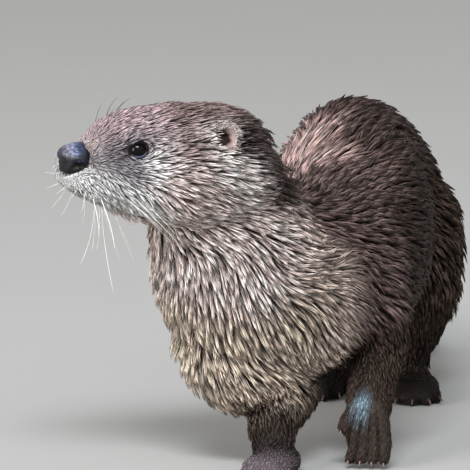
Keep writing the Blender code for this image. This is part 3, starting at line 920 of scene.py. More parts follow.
# Skin tints: the dark lips, also used for painted shade between the toes and behind the ear; the lids'
# rim; painted shade in the ear's opening; the soles.
skinTints = dict(lips=(0.022, 0.015, 0.015), lidRim=(0.02, 0.016, 0.02), ear=(0.018, 0.010, 0.008),
                 sole=(0.05, 0.035, 0.032))


def earHollow(hand, out=0.0):
    return headPoint(earShape["back"] - 2, hand * (earShape["aside"] + out), earShape["up"])


def paintSkin():
    rootTint, tipTint, sizes = coatAt(skinPoints)
    short = np.clip((7 - sizes[:, 0]) / 4, 0, 1)[:, None]
    # under long fur the skin keeps nearly the roots' dark tint: painted shade under the coat
    colour = mix(rootTint, tipTint, 0.02 + 0.30 * short)
    # the painted sheen of the wet wrist, a little of it on the skin too
    colour = toned(colour, np.array(paintedSheenStreak["tint"]) * paintedSheenStreak["skinTone"],
                   paintedSheenStreak["onSkin"] * paintedSheenShare(skinPoints))
    # the dark lips and eye corner, and painted shade between the toes and behind the ear
    colour = toned(colour, skinTints["lips"], darkMarksAndShade(skinPoints) * 0.95)
    for hand in (1, -1):
        _, _, w, edge = eyeSpace(skinPoints, hand)
        colour = toned(colour, skinTints["lidRim"], ease(-edge, -1.5, -1.05) * (w > 0) * 0.9)
        # painted shade: the skin round the ear's opening darkened
        near = ease(-apart(skinPoints, earHollow(hand)), -8.5, -6)
        colour = toned(colour, skinTints["ear"], near)
    colour = toned(colour, skinTints["sole"], ease(-skinPoints[:, 2], -2.2, -0.6) * 0.8)
    paintTints(skinMesh, colour)


paintSkin()
skin = placed("skin", skinMesh)
setAll(skinMesh.vertices, "co", (skinPoints - home) * mm)
skinMesh.update()
skinMesh.materials.append(finishes["underFur"])
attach(skin, "root")
flesh = [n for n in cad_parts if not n.startswith(("eye", "ear", "nose", "claw"))]
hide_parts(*flesh)


def unwrapSkin():
    bpy.context.view_layer.objects.active = skin
    skin.select_set(True)
    skinMesh.uv_layers.new(name="OFBake")
    bpy.ops.object.mode_set(mode="EDIT")
    bpy.ops.mesh.select_all(action="SELECT")
    bpy.ops.uv.smart_project(angle_limit=math.radians(75), island_margin=0.002)
    bpy.ops.object.mode_set(mode="OBJECT")
    return getAll(skinMesh.uv_layers["OFBake"].data, "uv", 2).reshape(-1, 3, 2).astype(float)


skinUnwrap = unwrapSkin()
skinCorners = getAll(skinMesh.polygons, "vertices", 3, np.int32)
print("skin unwrapped")


# Pieces of the coat: the ball that each one gathers round, rings in a lock, slot, finish.
coatPieces = {
    "furFace": (headPoint(22, 0, -4), 40, 2, "coat_fur", "wetFur"),
    "furHeadLeft": (headPoint(80, 22, 6), 58, 3, "coat_fur", "wetFur"),
    "furHeadRight": (headPoint(80, -22, 6), 58, 2, "coat_fur", "wetFur"),
    "furThroat": ((-30, -205, 150), 50, 3, "throat_fur", "wetFur"),
    "furChest": ((-14, -180, 88), 52, 3, "throat_fur", "wetFur"),
    "furShoulders": ((6, -100, 125), 62, 2, "coat_fur", "darkFur"),
    "furTrunk": ((4, -10, 122), 62, 2, "coat_fur", "darkFur"),
    "furHump": ((-22, 85, 150), 66, 2, "coat_fur", "darkFur"),
    "furRump": ((-26, 170, 110), 58, 2, "coat_fur", "darkFur"),
    "furTail": ((-60, 380, 20), 150, 2, "coat_fur", "darkFur"),
    "furForeLegs": ((30, -140, 22), 44, 2, "leg_fur", "darkFur"),
    "furHindLegs": ((-20, 130, 22), 52, 2, "leg_fur", "darkFur"),
}
# Where a lock has its rings: 0 at the root, 1 at the tip.
ringStops = {2: (0, 0.45), 3: (0, 0.34, 0.70)}
coatShape = dict(stretch=3.5, pull=0.95, gather=0.6, buried=0.7, ridge=0.42, roll=0.5,
                 stray=0.14, patch=0.003, extra=1.25, pitch=6.2, clump=9, clumpWidth=5.5,
                 lengths=(0.80, 1.20), lifts=(0.40, 2.0), pulls=(0.86, 1.08), quickShare=0.35)
# How unlike clumps and locks are, short and long; the painted light in the middle and the painted
# shade on the edge of a clump; where along a lock its tip's tint comes in, with the dark root below
# it partly painted shade deep in the coat; how much sooner a lock's ridge takes the tip's tint, as a
# painted highlight; and the tint of the dark marks and painted shade.
coatLight = dict(clump=(0.10, 0.30), lock=(0.16, 0.28), middle=1.16, edge=(0.75, 0.34),
                 limits=(0.25, 1.5), paleFlat=0.6, paleLift=1.15, blend=(0.16, 0.84), late=0.05,
                 ridge=0.15, darkAndShadeMarks=(0.020, 0.014, 0.011))


def spreadOut(points, spacing):
    # one point in each small cell of a grid, whose pitch follows the spacing
    cell = np.floor(points / np.round(spacing, 1)[:, None]).astype(np.int64)
    key = (cell[:, 0] * 73856093) ^ (cell[:, 1] * 19349663) ^ (cell[:, 2] * 83492791)
    return np.unique(key, return_index=True)[1]


def sampledRoots():
    # roots spread by area and density: faces drawn by weight, and a point inside each one
    a, b, c = (skinPoints[skinCorners[:, k]] for k in range(3))
    area = np.linalg.norm(np.cross(b - a, c - a), axis=1) / 2
    density = coatAt((a + b + c) / 3)[2][:, 3] / 100
    total = np.cumsum(area * density * coatShape["extra"])
    count = int(total[-1])
    places = (np.arange(count) + dice.random(count)) / count * total[-1]
    chosen = np.minimum(np.searchsorted(total, places), len(area) - 1)
    r1, r2 = np.sqrt(dice.random(count)), dice.random(count)
    inFace = np.stack([1 - r1, r1 * (1 - r2), r1 * r2], 1)[..., None]
    corners = skinCorners[chosen]
    roots = (skinPoints[corners] * inFace).sum(1)
    kept = spreadOut(roots, coatShape["pitch"] / np.sqrt(coatAt(roots)[2][:, 3]))
    normals = getAll(skinMesh.vertex_normals, "vector", 3).astype(float)[corners]
    normals = unit((normals * inFace).sum(1))
    uv = (skinUnwrap[chosen] * inFace).sum(1)
    return roots[kept], normals[kept], uv[kept]


def bareShare(roots):
    # true where no lock grows: lids, nose, lips' edge, ear openings, soles
    bare = roots[:, 2] < 1.6
    for hand in (1, -1):
        _, _, w, edge = eyeSpace(roots, hand)
        bare |= (edge < 1.28) & (w > 0)
        bare |= apart(roots, earHollow(hand, 1)) < 7.2
    back, aside, up = headSpace(roots)
    beside = np.interp(back, (4, 12), (8.8, 12.5))
    bare |= (back < 13.4) & (up > -9.4 + 0.08 * back) & (np.abs(aside) < beside) & (up < 8.6)
    over, here = mouthSpace(roots)
    bare |= (np.abs(over) < 0.45) & (here > 0.5)
    return bare


def nearest(points, leaders, lie):
    # the leader with the least |p - q|^2 - (1 - 1/stretch^2) ((p - q) . lie)^2, so clumps are long
    best = np.empty(len(points), np.int64)
    q, along = leaders.astype(np.float32), lie.astype(np.float32)
    share = 1 - 1 / coatShape["stretch"] ** 2
    square, offset = (q ** 2).sum(1), (q * along).sum(1)
    for start in range(0, len(points), 2000):
        p = points[start:start + 2000].astype(np.float32)
        distance = square - 2 * p @ q.T - share * (p @ along.T - offset) ** 2
        best[start:start + 2000] = np.argmin(distance, axis=1)
    return best


def onSkin(points):
    # the nearest place on the skin, and its normal there
    near = [skinTree.find_nearest(p) for p in points.tolist()]
    return np.array([n[0] for n in near]), np.array([n[1] for n in near])


def ringShares(stops):
    # the place along the lock of each of its points
    return np.array([s for s in stops for _ in range(3)] + [1.0])


def lockRings(roots, normals, lie, sizes, leader, edge, stops, onBody=True):
    # a bent centre line p(s) = (1-s)^2 root + 2s(1-s) knee + s^2 tip, with a three-sided section
    length, width, lift = sizes[:, :1], sizes[:, 1:2], sizes[:, 2:3] * mix(1.1, 0.55, edge[:, None])
    n = len(roots)
    across = unit(np.cross(normals, lie))
    spread = dice.normal(0, coatShape["stray"], (n, 1))
    length = length * dice.uniform(*coatShape["lengths"], (n, 1))
    lift = lift * dice.uniform(*coatShape["lifts"], (n, 1))
    tip = roots + unit(lie + across * spread) * length + normals * lift
    if onBody:                               # the tip of a clump keeps its height over the skin
        chosen = np.unique(leader)
        ground, facing = onSkin((tip - normals * lift)[chosen])
        tip[chosen] = ground + facing * lift[chosen]
    pull = np.clip(coatShape["pull"] * dice.uniform(*coatShape["pulls"], (n, 1)), 0, 0.985)
    knee = roots + (tip - roots) * 0.45 + normals * lift * 0.6
    knee = mix(knee, knee[leader], coatShape["gather"] * pull)
    tip = mix(tip, tip[leader], pull)
    start = roots - normals * coatShape["buried"]
    turn = dice.normal(0, coatShape["roll"], (n, 1))
    side = across * np.cos(turn) + normals * np.sin(turn)
    ridge = (normals * np.cos(turn) - across * np.sin(turn)) * 2 * coatShape["ridge"]
    rings = []
    for s in stops:
        centre = start * (1 - s) ** 2 + knee * 2 * s * (1 - s) + tip * s ** 2
        half = width * 0.5 * (0.62 + 1.15 * s - 1.77 * s ** 2)      # widest a third of the way
        rings += [centre - side * half, centre + side * half, centre + ridge * half]
    return np.stack(rings + [tip], 1)


def lockFaces(ringCount):
    # quads between the rings, three triangles to the tip and one on the root
    faces = []
    for k in range(0, 3 * ringCount - 3, 3):
        for a, b in ((k, k + 1), (k + 1, k + 2), (k + 2, k)):
            faces.append((a, b, b + 3, a + 3))
    top = 3 * (ringCount - 1)
    faces += [(top + j, top + (j + 1) % 3, 3 * ringCount) for j in range(3)]
    return faces + [(2, 1, 0)]


def lockMesh(name, points, shades, uv, stops, finish):
    n, each = points.shape[:2]
    faces = lockFaces(len(stops))
    sizes = np.tile([len(f) for f in faces], n)
    pattern = np.concatenate(faces)
    loops = (np.arange(n)[:, None] * each + pattern).ravel()
    mesh = bpy.data.meshes.new(name)
    mesh.vertices.add(n * each)
    setAll(mesh.vertices, "co", (points - home) * mm)
    mesh.loops.add(len(loops))
    mesh.loops.foreach_set("vertex_index", loops.astype(np.int32))
    mesh.polygons.add(len(sizes))
    mesh.polygons.foreach_set("loop_start", np.r_[0, np.cumsum(sizes)[:-1]].astype(np.int32))
    mesh.update(calc_edges=True)
    paintTints(mesh, shades.reshape(-1, 3))
    # every lock is a small patch of the bake map at its root's place on the skin's unwrap
    place = np.array([(j - 1, s) for s in stops for j in (0, 2, 1)] + [(0, 1)], float)
    place = (place * (0.5, 1.0) - (0, 0.5)) * coatShape["patch"]
    corners = uv[:, None] + place[pattern][None]
    setAll(mesh.uv_layers.new(name="OFBake").data, "uv", np.clip(corners, 0.0005, 0.9995))
    finished(name, mesh, finishes[finish])
    triangles = n * (6 * (len(stops) - 1) + 4)
    print(" ", name, n, "locks,", triangles, "triangles")
    return triangles


def lockColours(roots, rootTint, tipTint, sizes, leader, edge, stops):
    # darker at the root (partly painted shade deep in the coat), lighter to the tip, with a painted
    # highlight along each lock's ridge, painted light in the middle of a clump and painted shade at its
    # edges, and every clump and lock a little different
    # the ridge takes the tip's tint sooner: a painted highlight
    s = ringShares(stops) + np.array([0, 0, coatLight["ridge"]] * len(stops) + [0])
    long = ease(sizes[:, 0], 4, 10)
    clumpShade = dice.normal(0, 1, len(roots))[leader] * mix(*coatLight["clump"], long) - 0.04
    lockShade = dice.normal(0, 1, len(roots)) * mix(*coatLight["lock"], long)
    # painted shade towards the edges of a clump, painted light in its middle
    rim = mix(*coatLight["edge"], ease(sizes[:, 0], 5, 14))
    shade = np.exp(clumpShade) * np.exp(lockShade) * mix(coatLight["middle"], rim, edge)
    pale = ease(tipTint[:, 2], 0.7, 0.95)
    shade = np.clip(shade, *coatLight["limits"]) ** mix(1.0, coatLight["paleFlat"], pale)
    shade = shade * mix(1.0, coatLight["paleLift"], pale)
    late = mix(0.0, coatLight["late"], ease(sizes[:, 0], 13, 17))[:, None]
    blend = ease(np.clip(s, 0, 1)[None] - late, *coatLight["blend"])[..., None]
    colour = mix(rootTint[:, None], tipTint[:, None], blend) * shade[:, None, None]
    # the dark marks, with painted shade between the toes and behind the ear
    return toned(colour, coatLight["darkAndShadeMarks"], darkMarksAndShade(roots)[:, None] * 0.9)


def growCoat():
    roots, normals, uv = sampledRoots()
    keep = ~bareShare(roots)
    roots, normals, uv = roots[keep], normals[keep], uv[keep]
    rootTint, tipTint, sizes = coatAt(roots)
    for hand in (1, -1):                     # short in front of the ears
        d = apart(roots, headPoint(earShape["back"], hand * earShape["aside"], earShape["up"]))
        sizes[:, 0] *= mix(0.38, 1.0, ease(d, 8, 17))
    over, here = mouthSpace(roots)           # short along the edge of the lip
    sizes[:, 0] *= 1 - 0.85 * here * hill(np.maximum(over, 0), 3.4) * (over > -7)
    # painted sheen: the wet hairs of the left wrist tinted a pale blue, in streaks
    paintedShine = paintedSheenShare(roots) * dice.uniform(0.0, 1.0, len(roots))
    tipTint = toned(tipTint, paintedSheenStreak["tint"], paintedShine)
    lie = lieAt(roots, normals)
    owner = np.argmin([apart(roots, np.array(centre)) ** 2 - radius ** 2
                       for centre, radius, *_ in coatPieces.values()], axis=0)
    total = 0
    for k, (name, (_, _, ringCount, slot, finish)) in enumerate(coatPieces.items()):
        own = owner == k
        spot, way, size = roots[own], lie[own], sizes[own]
        reach = np.sqrt(size[:, 4] / size[:, 3])
        leaders = spreadOut(spot, coatShape["clump"] * reach)
        leader = leaders[nearest(spot, spot[leaders], way[leaders])]
        aside = spot - spot[leader]
        aside = aside - way * (aside * way).sum(1, keepdims=True)
        halfWide = coatShape["clumpWidth"] * reach / np.sqrt(coatShape["stretch"])
        edge = np.clip(np.linalg.norm(aside, axis=1) / halfWide, 0, 1) ** 2
        stops = ringStops[ringCount]
        points = lockRings(spot, normals[own], way, size, leader, edge, stops)
        points[..., 2] = np.maximum(points[..., 2], 0.25)
        colour = lockColours(spot, rootTint[own], tipTint[own], size, leader, edge, stops)
        total += lockMesh(name, points, colour, uv[own], stops, finish)
    print("coat grown,", len(roots), "locks,", total, "triangles")


skinTree = BVHTree.FromPolygons(skinPoints.tolist(), skinCorners.tolist())
growCoat()


eyeGrid = dict(sides=48, rings=40, lidSteps=72, lidSides=12)
cornea = dict(base=0.985, dome=0.035, width=0.55)
# From the pupil outwards: black, brown with streaks, a dark ring, the dark white of the eye.
irisRings = ((0.0, (0.001, 0.001, 0.001)), (0.19, (0.002, 0.001, 0.001)),
             (0.22, (0.010, 0.005, 0.003)), (0.32, (0.007, 0.004, 0.003)),
             (0.36, (0.002, 0.0015, 0.0015)), (0.5, (0.006, 0.004, 0.004)))
# The lids' rim: reach, standing out, thickness, more above and at the front corner, its dark tint, and
# a pale blue painted reflection on the lower lid.
lidRim = dict(reach=1.04, proud=0.25, thick=0.55, upper=0.65, corner=0.50,
              dark=(0.006, 0.0045, 0.005), paintedLidSheen=(0.075, 0.082, 0.125))


def eyeMaterial():
    material, tree, main = shader("eyeball", 0.05, 0.16)
    iris = addNode(tree, "UVMap", {}, {}, uv_map="iris")["UV"]
    away = addNode(tree, "SeparateXYZ", {}, {"Vector": iris})["Y"]
    streaks = rampNode(tree, noiseNode(tree, 26, 2, iris), ((0.35, 0.45), (0.65, 1.0)))
    colour = multiplied(tree, rampNode(tree, away, irisRings), streaks, 0.7)
    tree.links.new(colour, main["Base Color"])
    return material


def makeEyeball(side, hand, material):
    # a ball with its pole looking out, and a low dome for the cornea
    out, back, high = eyeAxes(hand)
    sides, count = eyeGrid["sides"], eyeGrid["rings"]
    v = poleAngles(count)
    radius = eyeRadius * (cornea["base"] + cornea["dome"] * hill(v, cornea["width"]))
    rings = (sphere(sides, count) * radius[:, None, None]) @ np.array([back, high, out])
    eyeball = piece("eyeball_" + side, swept(eyeCentre[hand] + rings), material)
    around = np.r_[np.tile(circle(sides), count), 0, 0] / (2 * math.pi)
    away = np.r_[np.repeat(v, sides), 0, math.pi] / math.pi
    corner = getAll(eyeball.data.loops, "vertex_index", 1, np.int32)[:, 0]
    layer = eyeball.data.uv_layers.new(name="iris")
    setAll(layer.data, "uv", np.stack([around, away], 1)[corner])
    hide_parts("eye_" + side)


def makeLids(side, hand):
    # the dark wet edge of the lids: a tube round the opening, on the ball, thicker above
    out, back, high = eyeAxes(hand)
    steps, sides = eyeGrid["lidSteps"], eyeGrid["lidSides"]
    cos, sin = np.cos(circle(steps)), np.sin(circle(steps))
    long, tall = lidHalves(cos, sin)
    a, h = cos * long * lidRim["reach"], sin * tall * lidRim["reach"]
    w = np.sqrt(np.maximum(eyeRadius ** 2 - a ** 2 - h ** 2, 9)) + lidRim["proud"]
    path = eyeCentre[hand] + a[:, None] * back + h[:, None] * high + w[:, None] * out
    thick = (lidRim["thick"] + lidRim["upper"] * ease(sin, 0, 1)
             + lidRim["corner"] * hill(cos + 1, 0.25))
    outward = unit(path - eyeCentre[hand])
    sideways = unit(np.cross(np.roll(path, -1, 0) - np.roll(path, 1, 0), outward))
    q = circle(sides)
    loops = (path[:, None] + (thick[:, None] * np.cos(q))[..., None] * sideways[:, None]
             + (thick[:, None] * np.sin(q))[..., None] * outward[:, None])
    k = np.arange(steps * sides).reshape(steps, sides)
    n = np.roll(k, -1, 1)
    quads = np.stack([k, n, np.roll(n, -1, 0), np.roll(k, -1, 0)], -1)
    # painted reflection: the lower lid tinted pale blue as a wet sheen, away from the front corner
    paintedLidSheen = ease(-sin, 0.3, 0.9) * ease(cos, -0.9, -0.4)
    colour = np.repeat(toned(lidRim["dark"], lidRim["paintedLidSheen"], paintedLidSheen), sides, axis=0)
    piece("eyelids_" + side, (loops.reshape(-1, 3), quads.reshape(-1, 4).tolist()),
          finishes["lidSkin"], colour)


eyeFinish = eyeMaterial()
for side, hand in (("left", 1), ("right", -1)):
    makeEyeball(side, hand, eyeFinish)
    makeLids(side, hand)
print("eyes made")


noseShape = dict(back=9.2, up=-0.3, half=(9.3, 12.2, 11.2), square=0.52, crisp=0.7, width=11.9,
                 top=9.8, slope=7.3, bottom=9.8, front=0.2, sides=150, rings=110)
nostril = dict(pit=1.9, tail=1.3, upperRim=1.0, lowerRim=0.8, groove=1.0)
# Tints of the nose pad: the leather, the painted sheen on its top (paler in front, bluer behind), the
# painted highlight on the nostril rims, the pits and the groove.
noseTints = dict(leather=(0.007, 0.0062, 0.009), sheenFront=(0.270, 0.275, 0.370),
                 sheenBack=(0.115, 0.160, 0.305), rim=(0.06, 0.07, 0.13),
                 pit=(0.010, 0.005, 0.005), groove=(0.010, 0.009, 0.012))


def noseMaterial():
    # small cells over a coarser mottle of the pad's own tint
    material, tree, main = shader("noseLeather", 0.42, 0.26, 0.05, 0.3)
    place = objectPlace(tree)
    cells = addNode(tree, "TexVoronoi", {"Scale": 1300}, {"Vector": place})["Distance"]
    grain = rampNode(tree, cells, ((0.0, 1.0), (0.6, (0.6, 0.6, 0.62))))
    mottle = rampNode(tree, noiseNode(tree, 700, 3, place),
                      ((0.36, (0.35, 0.35, 0.36)), (0.52, 0.9), (0.66, (1.9, 1.8, 1.75))))
    spotted = multiplied(tree, ownTint(tree), mottle)
    tree.links.new(multiplied(tree, spotted, grain), main["Base Color"])
    bumped(tree, main, grain, 0.8, 0.0003)
    return material


def makeNose():
    block = powered(sphere(noseShape["sides"], noseShape["rings"]), noseShape["square"])
    f, s, h = np.moveaxis(block * noseShape["half"], -1, 0)
    back, up, hand, k = noseShape["back"] - f, noseShape["up"] + h, np.sign(s), noseShape["crisp"]
    # a block cut by a sloping top, a front that leans back below, round sides and a curved bottom
    wide = (noseShape["width"] - 0.075 * (up + 1.5) ** 2) * (0.58 + 0.42 * ease(back, -1, 10))
    s = hand * lower(np.abs(s), wide, k)
    slope = noseShape["slope"] * np.exp(-np.maximum(back, -2) / 4.2)
    up = lower(up, noseShape["top"] - slope - 0.034 * s ** 2, k)
    under = 0.045 * np.minimum(back - 8, 0) ** 2 + 0.75 * np.maximum(back - 8.5, 0)
    up = higher(up, under - noseShape["bottom"], k)
    back = higher(back, noseShape["front"] + 1.5 * ease(-up, -2.2, 2.5) + 0.044 * s ** 2, k)
    # nostrils: an oval pit in each side whose front end turns down, under a swollen rim
    curl = up + 3.9 + 0.06 * (back - 11)
    lateral = ease(np.abs(s), 4.0, 8.0)
    pit = nostril["pit"] * np.exp(-((back - 10.6) / 3.6) ** 4 - (curl / 1.6) ** 4)
    tail = nostril["tail"] * hill(back - 7.4, 1.4) * hill(up + 5.6, 1.7)
    sink = np.maximum(pit, tail) * lateral
    wing = nostril["upperRim"] * hill(curl - 3.4, 1.3) * hill(back - 12, 5.0)
    wing = (wing + nostril["lowerRim"] * hill(curl + 3.6, 1.2) * hill(back - 12, 4)) * lateral
    s = s - hand * (sink - wing)
    groove = nostril["groove"] * hill(s, 0.8) * ease(-up, -1, 3) * ease(-back, -7, -3)
    back = back + 0.5 * sink * ease(-back, -7, -2) + groove
    # painted sheen: the top of the pad tinted pale blue, strongest towards the front, for the light it
    # reflects
    top = ease(up - (1.2 + 0.10 * back), -1.6, 1.8)
    sheen = (top * hill(back - 8.0, 5.2) * ease(up, -3, 2))[..., None]
    sheenTint = toned(noseTints["sheenFront"], noseTints["sheenBack"], ease(back, 5, 12))
    colour = mix(np.array(noseTints["leather"]), sheenTint, sheen)
    # painted highlight: the swollen rims over the nostrils tinted pale blue below the top
    rim = np.clip(wing * ease(curl, -1, 1), 0, 1) * (1 - top) * 0.7
    colour = toned(colour, noseTints["rim"], rim)
    colour = toned(colour, noseTints["pit"], np.clip(sink, 0, 1))
    colour = toned(colour, noseTints["groove"], np.clip(groove, 0, 1))
    nosePad = piece("nosePad", swept(headPoint(back, s, up)), noseMaterial(),
                    endTints(colour))
    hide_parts("nose")
    print("nose made")


makeNose()


earFur = dict(count=480, length=3.4, width=0.8, lift=0.6, rows=(9, 28), rim=20, near=16,
              dark=(0.12, 0.085, 0.078), pale=(0.90, 0.77, 0.73))
# Share of the ear's outline and depth along its opening: base, outer wall, rolled rim, inner
# wall, pit.
earProfile = ((0.66, -8.0), (0.84, -5.0), (0.97, -1.5), (1.02, 1.0), (1.00, 2.3), (0.93, 2.7),
              (0.86, 2.1), (0.74, 0.6), (0.55, -1.8), (0.32, -4.0), (0.08, -4.8))
earForm = dict(sides=72, lobe=1.2, sunk=1.2, inward=1.8, frontFold=2.0, lowFold=1.2,
               looks=(0.84, 0.52, 0.14))
# Tints of the ear: its back, the pale rim, the wall, the orange-brown edge round the pit, and painted
# shade in the pit.
earTints = dict(back=(0.09, 0.065, 0.06), rim=(0.78, 0.66, 0.63), wall=(0.47, 0.37, 0.40),
                edge=(0.30, 0.17, 0.09), hollow=(0.016, 0.009, 0.007))


def growEarFur(side, rings, place, toBack, high, opening, flap):
    # short hair over the ear's back, its rim and its inner wall, and from the front across the hollow
    n = earFur["count"]
    i, j = dice.integers(*earFur["rows"], n), dice.integers(0, rings.shape[1], n)
    kept = (flap[j] > 0.4) | (i < 13) | (dice.random(n) < 0.15)
    i, j, n = i[kept], j[kept], int(kept.sum())
    roots = rings[i, j]
    around = rings[i, (j + 1) % rings.shape[1]] - rings[i, j - 1]
    normals = unit(np.cross(rings[i + 1, j] - rings[i - 1, j], around))
    radial = roots - place
    radial = unit(radial - (radial @ opening)[:, None] * opening)
    inside = i > earFur["rim"]
    outward = np.where(inside[:, None], opening - 0.5 * radial, radial)
    normals = normals * np.sign((normals * outward).sum(1, keepdims=True))
    front = 1 - flap[j][:, None]
    lie = mix(radial * 0.8 + opening * 0.5 + toBack * 0.5, toBack + opening * 0.35 - high * 0.2, front)
    lie = unit(lie - normals * (lie * normals).sum(1, keepdims=True) * 0.7)
    size = np.tile([earFur["length"], earFur["width"], earFur["lift"]], (n, 1)) * mix(1.0, 1.3, front)
    stops = ringStops[3]
    points = lockRings(roots, normals, lie, size, np.arange(n), np.zeros(n), stops, False)
    share = np.clip(0.1 + 0.09 * (i - 10), 0.1, 1) * dice.uniform(0.5, 1.1, (n, 1))[:, 0]
    tip = toned(earFur["dark"], earFur["pale"], np.clip(share, 0, 1))
    # darker to the root, partly painted shade deep in the short hair
    colour = tip[:, None] * mix(0.35, 1.0, ringShares(stops)[None, :, None])
    near = apart(skinPoints, place) < earFur["near"]
    vertexUv = np.zeros((len(skinPoints), 2))
    vertexUv[skinCorners.ravel()] = skinUnwrap.reshape(-1, 2)
    uv = vertexUv[near][np.argmin(apart(roots[:, None], skinPoints[near][None]), axis=1)]
    lockMesh("furEar_" + side, points, colour, uv, stops, "wetFur")


def makeEar(side, hand):
    # an outline (w cos^0.8 t, h sin^0.8 t), carried along a profile over the rim and into the pit
    outwards, ahead, up = earForm["looks"]
    opening = unit(hand * headLeft * outwards + headForward * ahead + upward * up)
    toBack = unit(-headForward - (-headForward @ opening) * opening)
    high = unit(upward - (upward @ opening) * opening)
    t = circle(earForm["sides"])
    cos, sin = np.cos(t), np.sin(t)
    profile = smoothRows(earProfile, 4)
    share, depth = profile[:, :1], profile[:, 1:]
    inner = ease(np.arange(len(profile)) / (len(profile) - 1), 0.42, 0.72)[:, None]
    flap = ease(cos * 0.85 + sin * 0.40, -0.6, 0.6)             # tall at the back and top
    ragged = 1 + 0.03 * np.sin(3 * t + 1) + 0.02 * np.sin(7 * t)
    x = share * earShape["width"] * powered(cos, 0.8) * ragged
    y = share * earShape["height"] * powered(sin, 0.8)
    y = y - earForm["lobe"] * ease(-sin, 0.2, 1.0) * ease(cos, -0.6, 0.8) * share
    x = x - earForm["inward"] * inner * ease(-share, -0.9, -0.2)
    depth = depth * mix(0.6, 1.0, flap) - earForm["sunk"] * (1 - flap)
    folds = earForm["frontFold"] * hill(t - 3.7, 0.40) + earForm["lowFold"] * hill(t - 5.4, 0.35)
    depth = depth + folds * inner * ease(share, 0.35, 0.8)
    place = headPoint(earShape["back"], hand * earShape["aside"], earShape["up"])
    rings = place + x[..., None] * toBack + y[..., None] * high + depth[..., None] * opening
    colour = np.array(earTints["back"]) * np.ones(x.shape + (1,))
    colour = toned(colour, earTints["rim"], hill(share - 0.95, 0.10) * mix(0.35, 1.0, flap))
    colour = toned(colour, earTints["wall"], inner * ease(x, -1.0, 2.0))
    oval = np.hypot((x + 2.0 + 0.3 * y) / 4.9, (y + 0.2) / 5.2) + 0.10 * np.sin(5 * t + 1)
    colour = toned(colour, earTints["edge"], inner * hill(oval - 1.0, 0.22) * ease(x, 0, 3))
    # painted shade: the pit inside the oval darkened nearly to black
    hollow = np.clip(inner * (1 - ease(oval, 0.70, 1.05)), 0, 1)
    colour = toned(colour, earTints["hollow"], hollow)
    ear = piece("ear_shell_" + side, swept(rings), finishes["earSkin"], endTints(colour))
    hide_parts("ear_" + side)
    growEarFur(side, rings, place, toBack, high, opening, flap)


makeEar("left", 1)
makeEar("right", -1)
print("ears made")


clawShape = dict(root=1.4, flat=0.8, reach=1.12, buried=1.6, drop=0.6, hook=1.5, high=0.42,
                 horn=(0.05, 0.033, 0.03), tip=(0.20, 0.13, 0.12))


def makeClaws(name, foot):
    side = name.replace("Left", "_left").replace("Right", "_right")
    forms = []
    for ahead, tip, rows in toeRows(name):
        if "hang" in foot:
            ahead = unit(ahead + unit(rows[-1] - rows[-2])[:3])
        # a hooked cone: the radius falls with the root of the way left, the path bends down
        s = np.linspace(0, 1, 12)[:, None]
        path = tip + upward * foot["thick"] * clawShape["high"] - ahead * clawShape["buried"]
        path = path + ahead * foot["claw"] * clawShape["reach"] * s
        path = path - upward * (clawShape["drop"] * s + clawShape["hook"] * s ** 2)
        path[:, 2] = np.maximum(path[:, 2], 0.5)
        radius = clawShape["root"] * np.sqrt(1 - 0.94 * s[:, 0]) * (1 - 0.25 * s[:, 0])
        forms.append(pipe(path, radius, upward, 12, clawShape["flat"]))
    points, faces = joined(forms)
    distance = np.min([apart(points, tip + ahead * foot["claw"]) for ahead, tip, _ in toeRows(name)],
                      axis=0)
    colour = toned(clawShape["horn"], clawShape["tip"], ease(-distance, -7, -1))
    claws = piece("claws_" + side, (points, faces), finishes["clawHorn"], colour)
    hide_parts(*(f"claw_{side}_{k}" for k in range(1, 6)))


for name, foot in feet.items():
    makeClaws(name, foot)
print("claws made")


# Root (back, aside, up), place of the tip, sag in the middle, thickness.
whiskers = {
    "left": (
        ((30, 22, -14), (68, 31, -52), -9, 0.42), ((28, 22, -16), (64, 29, -51), -7, 0.36),
        ((31, 22, -11), (66, 32, -46), -8, 0.36), ((26, 22, -17), (59, 31, -44), -6, 0.34),
        ((27, 22, -12), (55, 34, -37), -5, 0.32), ((23, 21, -9), (50, 38, -24), -3, 0.28),
        ((20, 20, -19), (26, 34, -52), 4, 0.32), ((16, 18, -19), (17, 30, -44), 3, 0.28),
        ((12, 16, -17), (6, 30, -30), 2, 0.24), ((9, 14, -16), (-1, 24, -24), 1, 0.22),
        ((7, 11, -13), (-3, 16, -18), 1, 0.20), ((6, 9, -10), (-4, 12, -11), 0.5, 0.18),
        ((5, 6, -15), (-3, 8, -21), 0.5, 0.18),
    ),
    "right": (
        ((30, 20, -20), (20.4, 21, -68), 4, 0.40), ((28, 20, -20), (27.3, 20, -60.3), 3, 0.34),
        ((31, 20, -20), (29.9, 18, -59.3), 3, 0.34), ((34, 19, -24), (39.4, 14, -86), -4, 0.44),
        ((33, 19, -22), (44.3, 15, -66), -4, 0.32), ((36, 18, -24), (52, 15, -61), -4, 0.30),
        ((38, 17, -26), (52, 10, -67), -4, 0.28), ((22, 19, -19), (21.7, 20, -43), 2, 0.32),
        ((15, 17, -18), (8, 22, -38), 2, 0.26), ((12, 16, -17), (3, 24, -33), 1, 0.24),
        ((8, 12, -14), (-2, 18, -20), 1, 0.20), ((6, 9, -10), (-4, 13, -10), 0.5, 0.18),
        ((24, 21, -10), (52, 38, -22), -4, 0.30), ((28, 22, -12), (62, 36, -34), -5, 0.32),
    ),
}
browWhiskers = (
    ((33, 8, 22), (41.5, 10, 35), -1.5, 0.30), ((27, 11, 18), (33, 14, 31.5), -1, 0.24),
    ((40, 15, 23), (54, 24, 33), -1.5, 0.22),
)
hairShape = dict(sides=5, steps=16, down=0.8, ahead=0.6, width=0.8, taper=0.75, power=1.3,
                 pale=(0.90, 0.90, 0.88), dark=(0.04, 0.028, 0.025))


